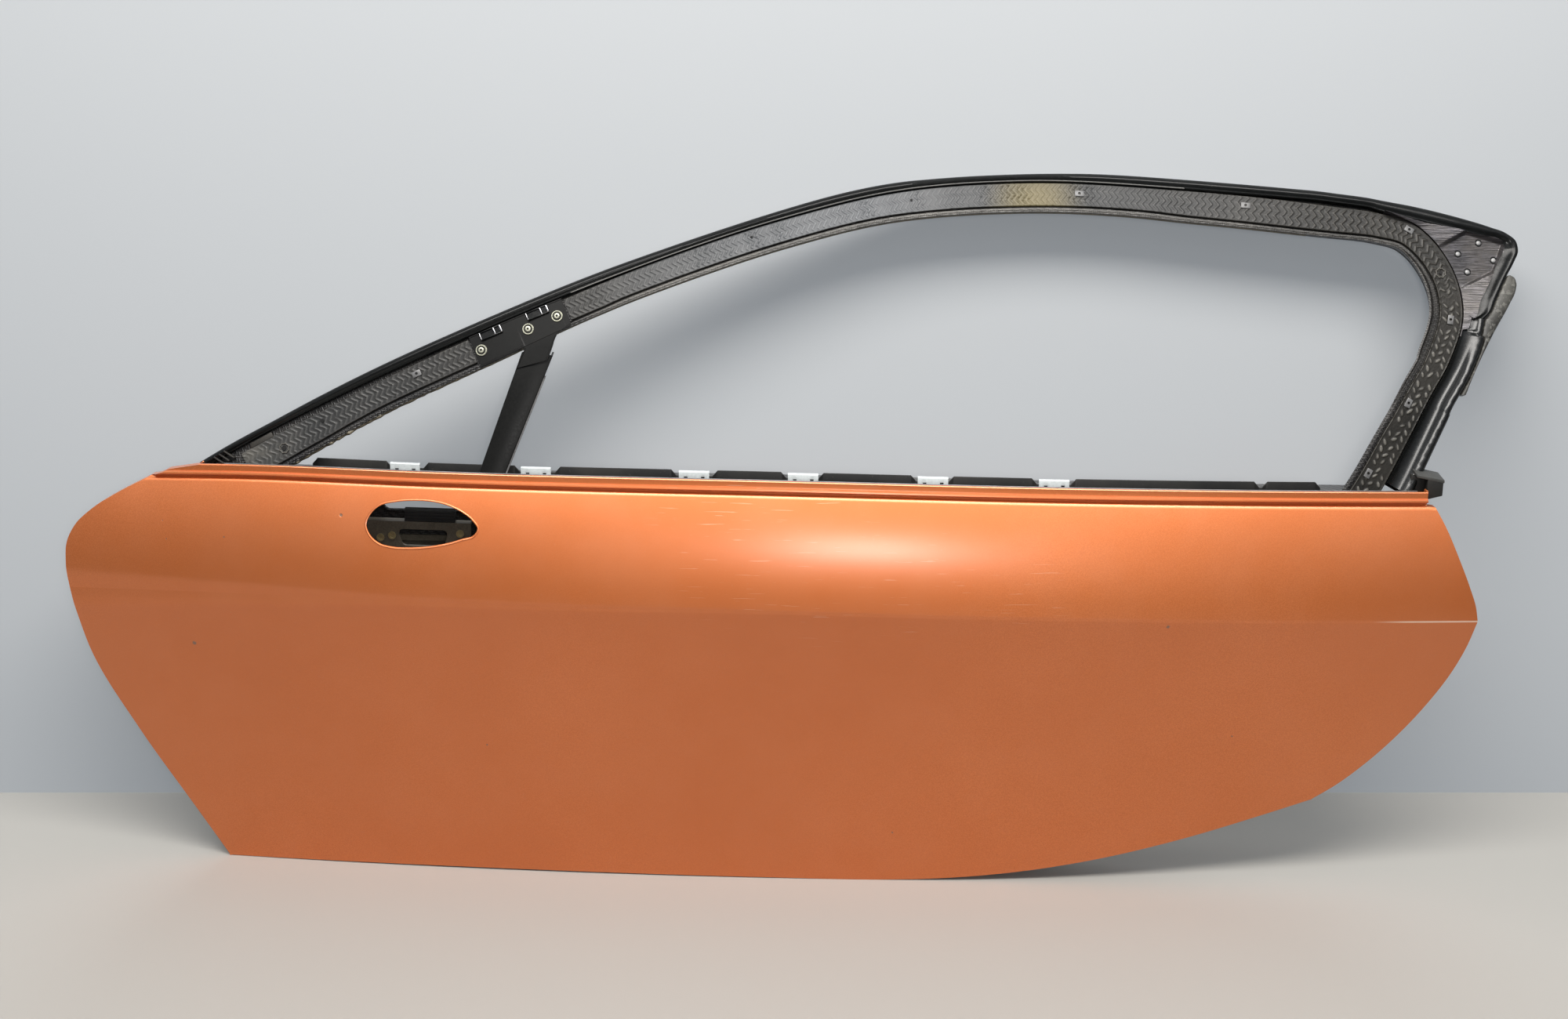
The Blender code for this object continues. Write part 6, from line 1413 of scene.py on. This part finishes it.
for piece, material in ((end_block, moulded_black), (end_cap, worn_cap)):
    surface(piece, material, 35)
    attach(piece, "root")
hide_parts("belt_end_block")


# The inner panel: a carbon fibre tray bonded inside the hem. Its face is pierced for the regulator, the speaker,
# the latch and the mirror's cable, each with a moulded rim, and pressed swages stiffen it.
panel_thickness, panel_depth, panel_follow = 0.0028, 0.088, 0.6


def panel_y(x):
    """The panel's outboard face, which turns inboard less than the skin does."""
    return panel_depth + panel_follow * plan(x)


def inset_line(line, distance):
    """A polyline moved to its left by a distance, its corners mitred."""
    made = []
    for k, point in enumerate(line):
        back = (point - line[max(k - 1, 0)]) if k else line[1] - line[0]
        ahead = (line[min(k + 1, len(line) - 1)] - point) if k < len(line) - 1 else back
        way = (back.normalized() + ahead.normalized()).normalized()
        made.append(point + Vector((-way.y, way.x)) * distance / max(way.dot(ahead.normalized()), 0.5))
    return made


def corner_arcs(points, radius, steps=8):
    """A closed outline with its corners turned into arcs."""
    made = []
    for k, corner in enumerate(points):
        corner = Vector(corner)
        back = (Vector(points[k - 1]) - corner).normalized()
        ahead = (Vector(points[(k + 1) % len(points)]) - corner).normalized()
        half = back.angle(ahead) / 2
        reach_back = radius / math.tan(half)
        centre = corner + (back + ahead).normalized() * (radius / math.sin(half))
        start, end = corner + back * reach_back - centre, corner + ahead * reach_back - centre
        for step in range(steps + 1):
            arm = start.slerp(end, step / steps)
            made.append(centre + arm * (radius / arm.length))
    return made


def box_outline(x, z, length, height, corner):
    half, tall = length / 2, height / 2
    return corner_arcs([(x - half, z - tall), (x + half, z - tall), (x + half, z + tall), (x - half, z + tall)], corner)


def round_outline(x, z, radius, steps=48):
    return [Vector((x + radius * math.cos(2 * math.pi * k / steps), z + radius * math.sin(2 * math.pi * k / steps)))
            for k in range(steps)]


front_side = front_lower + front_upper[1:]
front_side = even_line(front_side[:round(len(front_side) * 0.90)], 12)
rear_side = even_line(rear_lower + rear_upper[1:-5], 12)
tray_edge = front_side[::-1] + even_line(bottom_edge, 22)[1:] + rear_side[1:]


def tray_sides(distance):
    """The tray's outline moved in from the skin's edge: its front, bottom and rear sides, finely divided."""
    line = inset_line(tray_edge, distance)
    return smooth_line(line[:13], 72), smooth_line(line[12:35], 200), smooth_line(line[34:], 72)


loops = []
for distance, share in ((0.0060, 0.0), (0.0130, 0.0), (0.0180, 0.01), (0.0200, 0.05), (0.0212, 0.14), (0.0235, 0.36),
                        (0.0262, 0.62), (0.0284, 0.84), (0.0294, 0.93), (0.0306, 0.98), (0.0325, 1.0)):
    front, low, rear = tray_sides(distance)
    points = np.array(front + low[1:] + rear[1:])
    near = skin_y(points[:, 0], points[:, 1]) + skin_sheet + 0.0012
    loops.append(np.stack([points[:, 0], near + (panel_y(points[:, 0]) - near) * share, points[:, 1]], axis=-1))
tray_wall = sheet("tray_wall", np.array(loops))

front, low, rear = tray_sides(0.0325)
left, right = front[::-1], rear
top = [p - Vector((0, 0.008)) for p in belt_edge if left[-1].x * 2 < p.x < right[-1].x - 0.012]
top = even_line([left[-1]] + top + [right[-1]], 200)
inner = patch(low, top, left, right, 200, np.linspace(0, 1, 90))
x, z = inner[..., 0], inner[..., 1]


def from_box(x, z, middle_x, middle_z, length, height, corner):
    """Distance from a rounded box, less than zero inside it."""
    dx, dz = np.abs(x - middle_x) - length / 2 + corner, np.abs(z - middle_z) - height / 2 + corner
    return np.hypot(np.maximum(dx, 0), np.maximum(dz, 0)) + np.minimum(np.maximum(dx, dz), 0) - corner


def swage(away, width, height):
    """A flat-topped rib where away is near zero."""
    return height * np.exp(-(away / width) ** 4)


service, latch = (0.812, 0.22225, 0.560, 0.215, 0.045), (1.23975, 0.32004, 0.160, 0.105, 0.030)
speaker, speaker_radius = (0.290, 0.17336), 0.062
rise = swage(from_box(x, z, *service) - 0.017, 0.0050, 0.0032)
rise = np.maximum(rise, swage(np.hypot(x - speaker[0], z - speaker[1]) - 0.082, 0.0050, 0.0032))
rise = np.maximum(rise, swage(from_box(x, z, *latch) - 0.012, 0.0040, 0.0024))
for start_x, start_z, end_x, end_z in ((0.50, 0.055, 1.00, 0.055), (0.56, 0.085, 0.94, 0.085), (0.40, 0.11, 0.43, 0.33),
                                       (0.46, 0.11, 0.485, 0.33), (0.56, 0.365, 1.08, 0.362), (1.13, 0.14, 1.24, 0.225),
                                       (0.20, 0.065, 0.40, 0.065)):
    way = np.array((end_x - start_x, end_z - start_z))
    run = np.clip(((x - start_x) * way[0] + (z - start_z) * way[1]) / (way @ way), 0, 1)
    rise = np.maximum(rise, swage(np.hypot(x - start_x - run * way[0], z - start_z - run * way[1]), 0.0075, 0.0034))
tray_face = sheet("tray_face", np.stack([x, panel_y(x) + rise, z], axis=-1))
inner_panel = join([tray_wall, tray_face])
weld = inner_panel.modifiers.new("weld", "WELD")
weld.merge_threshold = 0.0003
apply_modifiers(inner_panel)
thicken(inner_panel, panel_thickness)
openings = (box_outline(*service), box_outline(*latch), box_outline(0.39005, 0.39072, 0.130, 0.026, 0.008),
            round_outline(*speaker, speaker_radius), round_outline(0.18125, 0.342265, 0.016))
rims = []
for points in openings:
    cut_out(inner_panel, prism(points, 0.058, 0.16))
    rims.append(rim("rim", points, -1, 0.0010, 0.0022, 0.0026, 10, lambda x, z: panel_y(x) + 0.0014))
inner_panel = join([inner_panel] + rims)
inner_panel.name = "panel_tray"
surface(inner_panel, carbon_fibre, 35)
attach(inner_panel, "root")
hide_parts("inner_panel", "panel_front", "panel_rear", "panel_rim")


def panel_matrix(x, z, lift):
    """Local Z points into the car from the panel's inboard face. The origin is in world coordinates."""
    out = Vector((-panel_follow * (x - plan_middle) / plan_radius, 1.0, 0.0)).normalized()
    side = Vector((0, 0, 1)).cross(out).normalized()
    rows = Matrix((side, out.cross(side), out)).transposed().to_4x4()
    rows.translation = Vector((x, panel_y(x) + panel_thickness, z)) + out * lift - door_origin
    return rows


insert = drum(0.0070, 0.0012, 6, 0.0006)
bevelled(insert, 0.0004, 2)
collar = drum(0.0050, 0.0022, 24, 0.0011)
bevelled(collar, 0.0005, 2)
cut_out(collar, drum(0.0028, 0.01, 16))
insert = join([insert, collar])
insert.name = "panel_insert_1"
surface(insert, zinc_plated, 35)
insert_places = [(0.515 + 0.099 * k, z) for k in range(7) for z in (0.094, 0.3505)]
insert_places += [(speaker[0] + 0.073 * math.cos(a), speaker[1] + 0.073 * math.sin(a)) for a in (0.8, 2.35, 3.93, 5.5)]
for piece, (x, z) in zip(copies(insert, len(insert_places)), insert_places):
    settle(piece, panel_matrix(x, z, 0.0001))
    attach(piece, "root")


# The crash beam and its saddles, the hinge and latch plates, the stay's ball stud, the stops and the glass guides
# are the CAD nodes themselves, with their edges broken and their real finishes.
cast_alloy = finish("cast_alloy", (0.27, 0.26, 0.25), 0.48, metallic=0.75, dust=0.28, grain=700.0, uneven=0.25,
                    bump=0.4)
stop_rubber = finish("stop_rubber", (0.022, 0.022, 0.022), 0.78, dust=0.45, grain=900.0, uneven=0.2, bump=0.3)
dress("crash_beam", galvanised)
dress("hinge_plate", cast_alloy, 0.0012)
dress("latch_plate", bright_steel, 0.0008)
dress("strut_stud", bright_steel)
for k in (1, 2):
    dress("door_stop_%d" % k, stop_rubber, 0.0006)
for end in ("front", "rear"):
    dress("beam_bracket_" + end, cast_alloy, 0.0006)
    dress("glass_guide_" + end, galvanised, 0.0002)

# The mirror's mount: a cast bracket bonded to the panel behind the opening, with brass inserts for the mirror's
# screws, and a grooved moulded rail that carries the cable above it.
bracket_cast = finish("bracket_cast", (0.125, 0.108, 0.078), 0.46, metallic=0.25, dust=0.40, grain=500.0, uneven=0.3,
                        bump=0.4)
brass = finish("brass", (0.55, 0.46, 0.24), 0.34, metallic=0.6, dust=0.25, uneven=0.15, bump=0.1)
dress("mirror_bracket", bracket_cast, 0.0005)
dress("cable_rail", moulded_black, 0.0002)
for k in (1, 2, 3):
    dress("mirror_insert_%d" % k, brass)
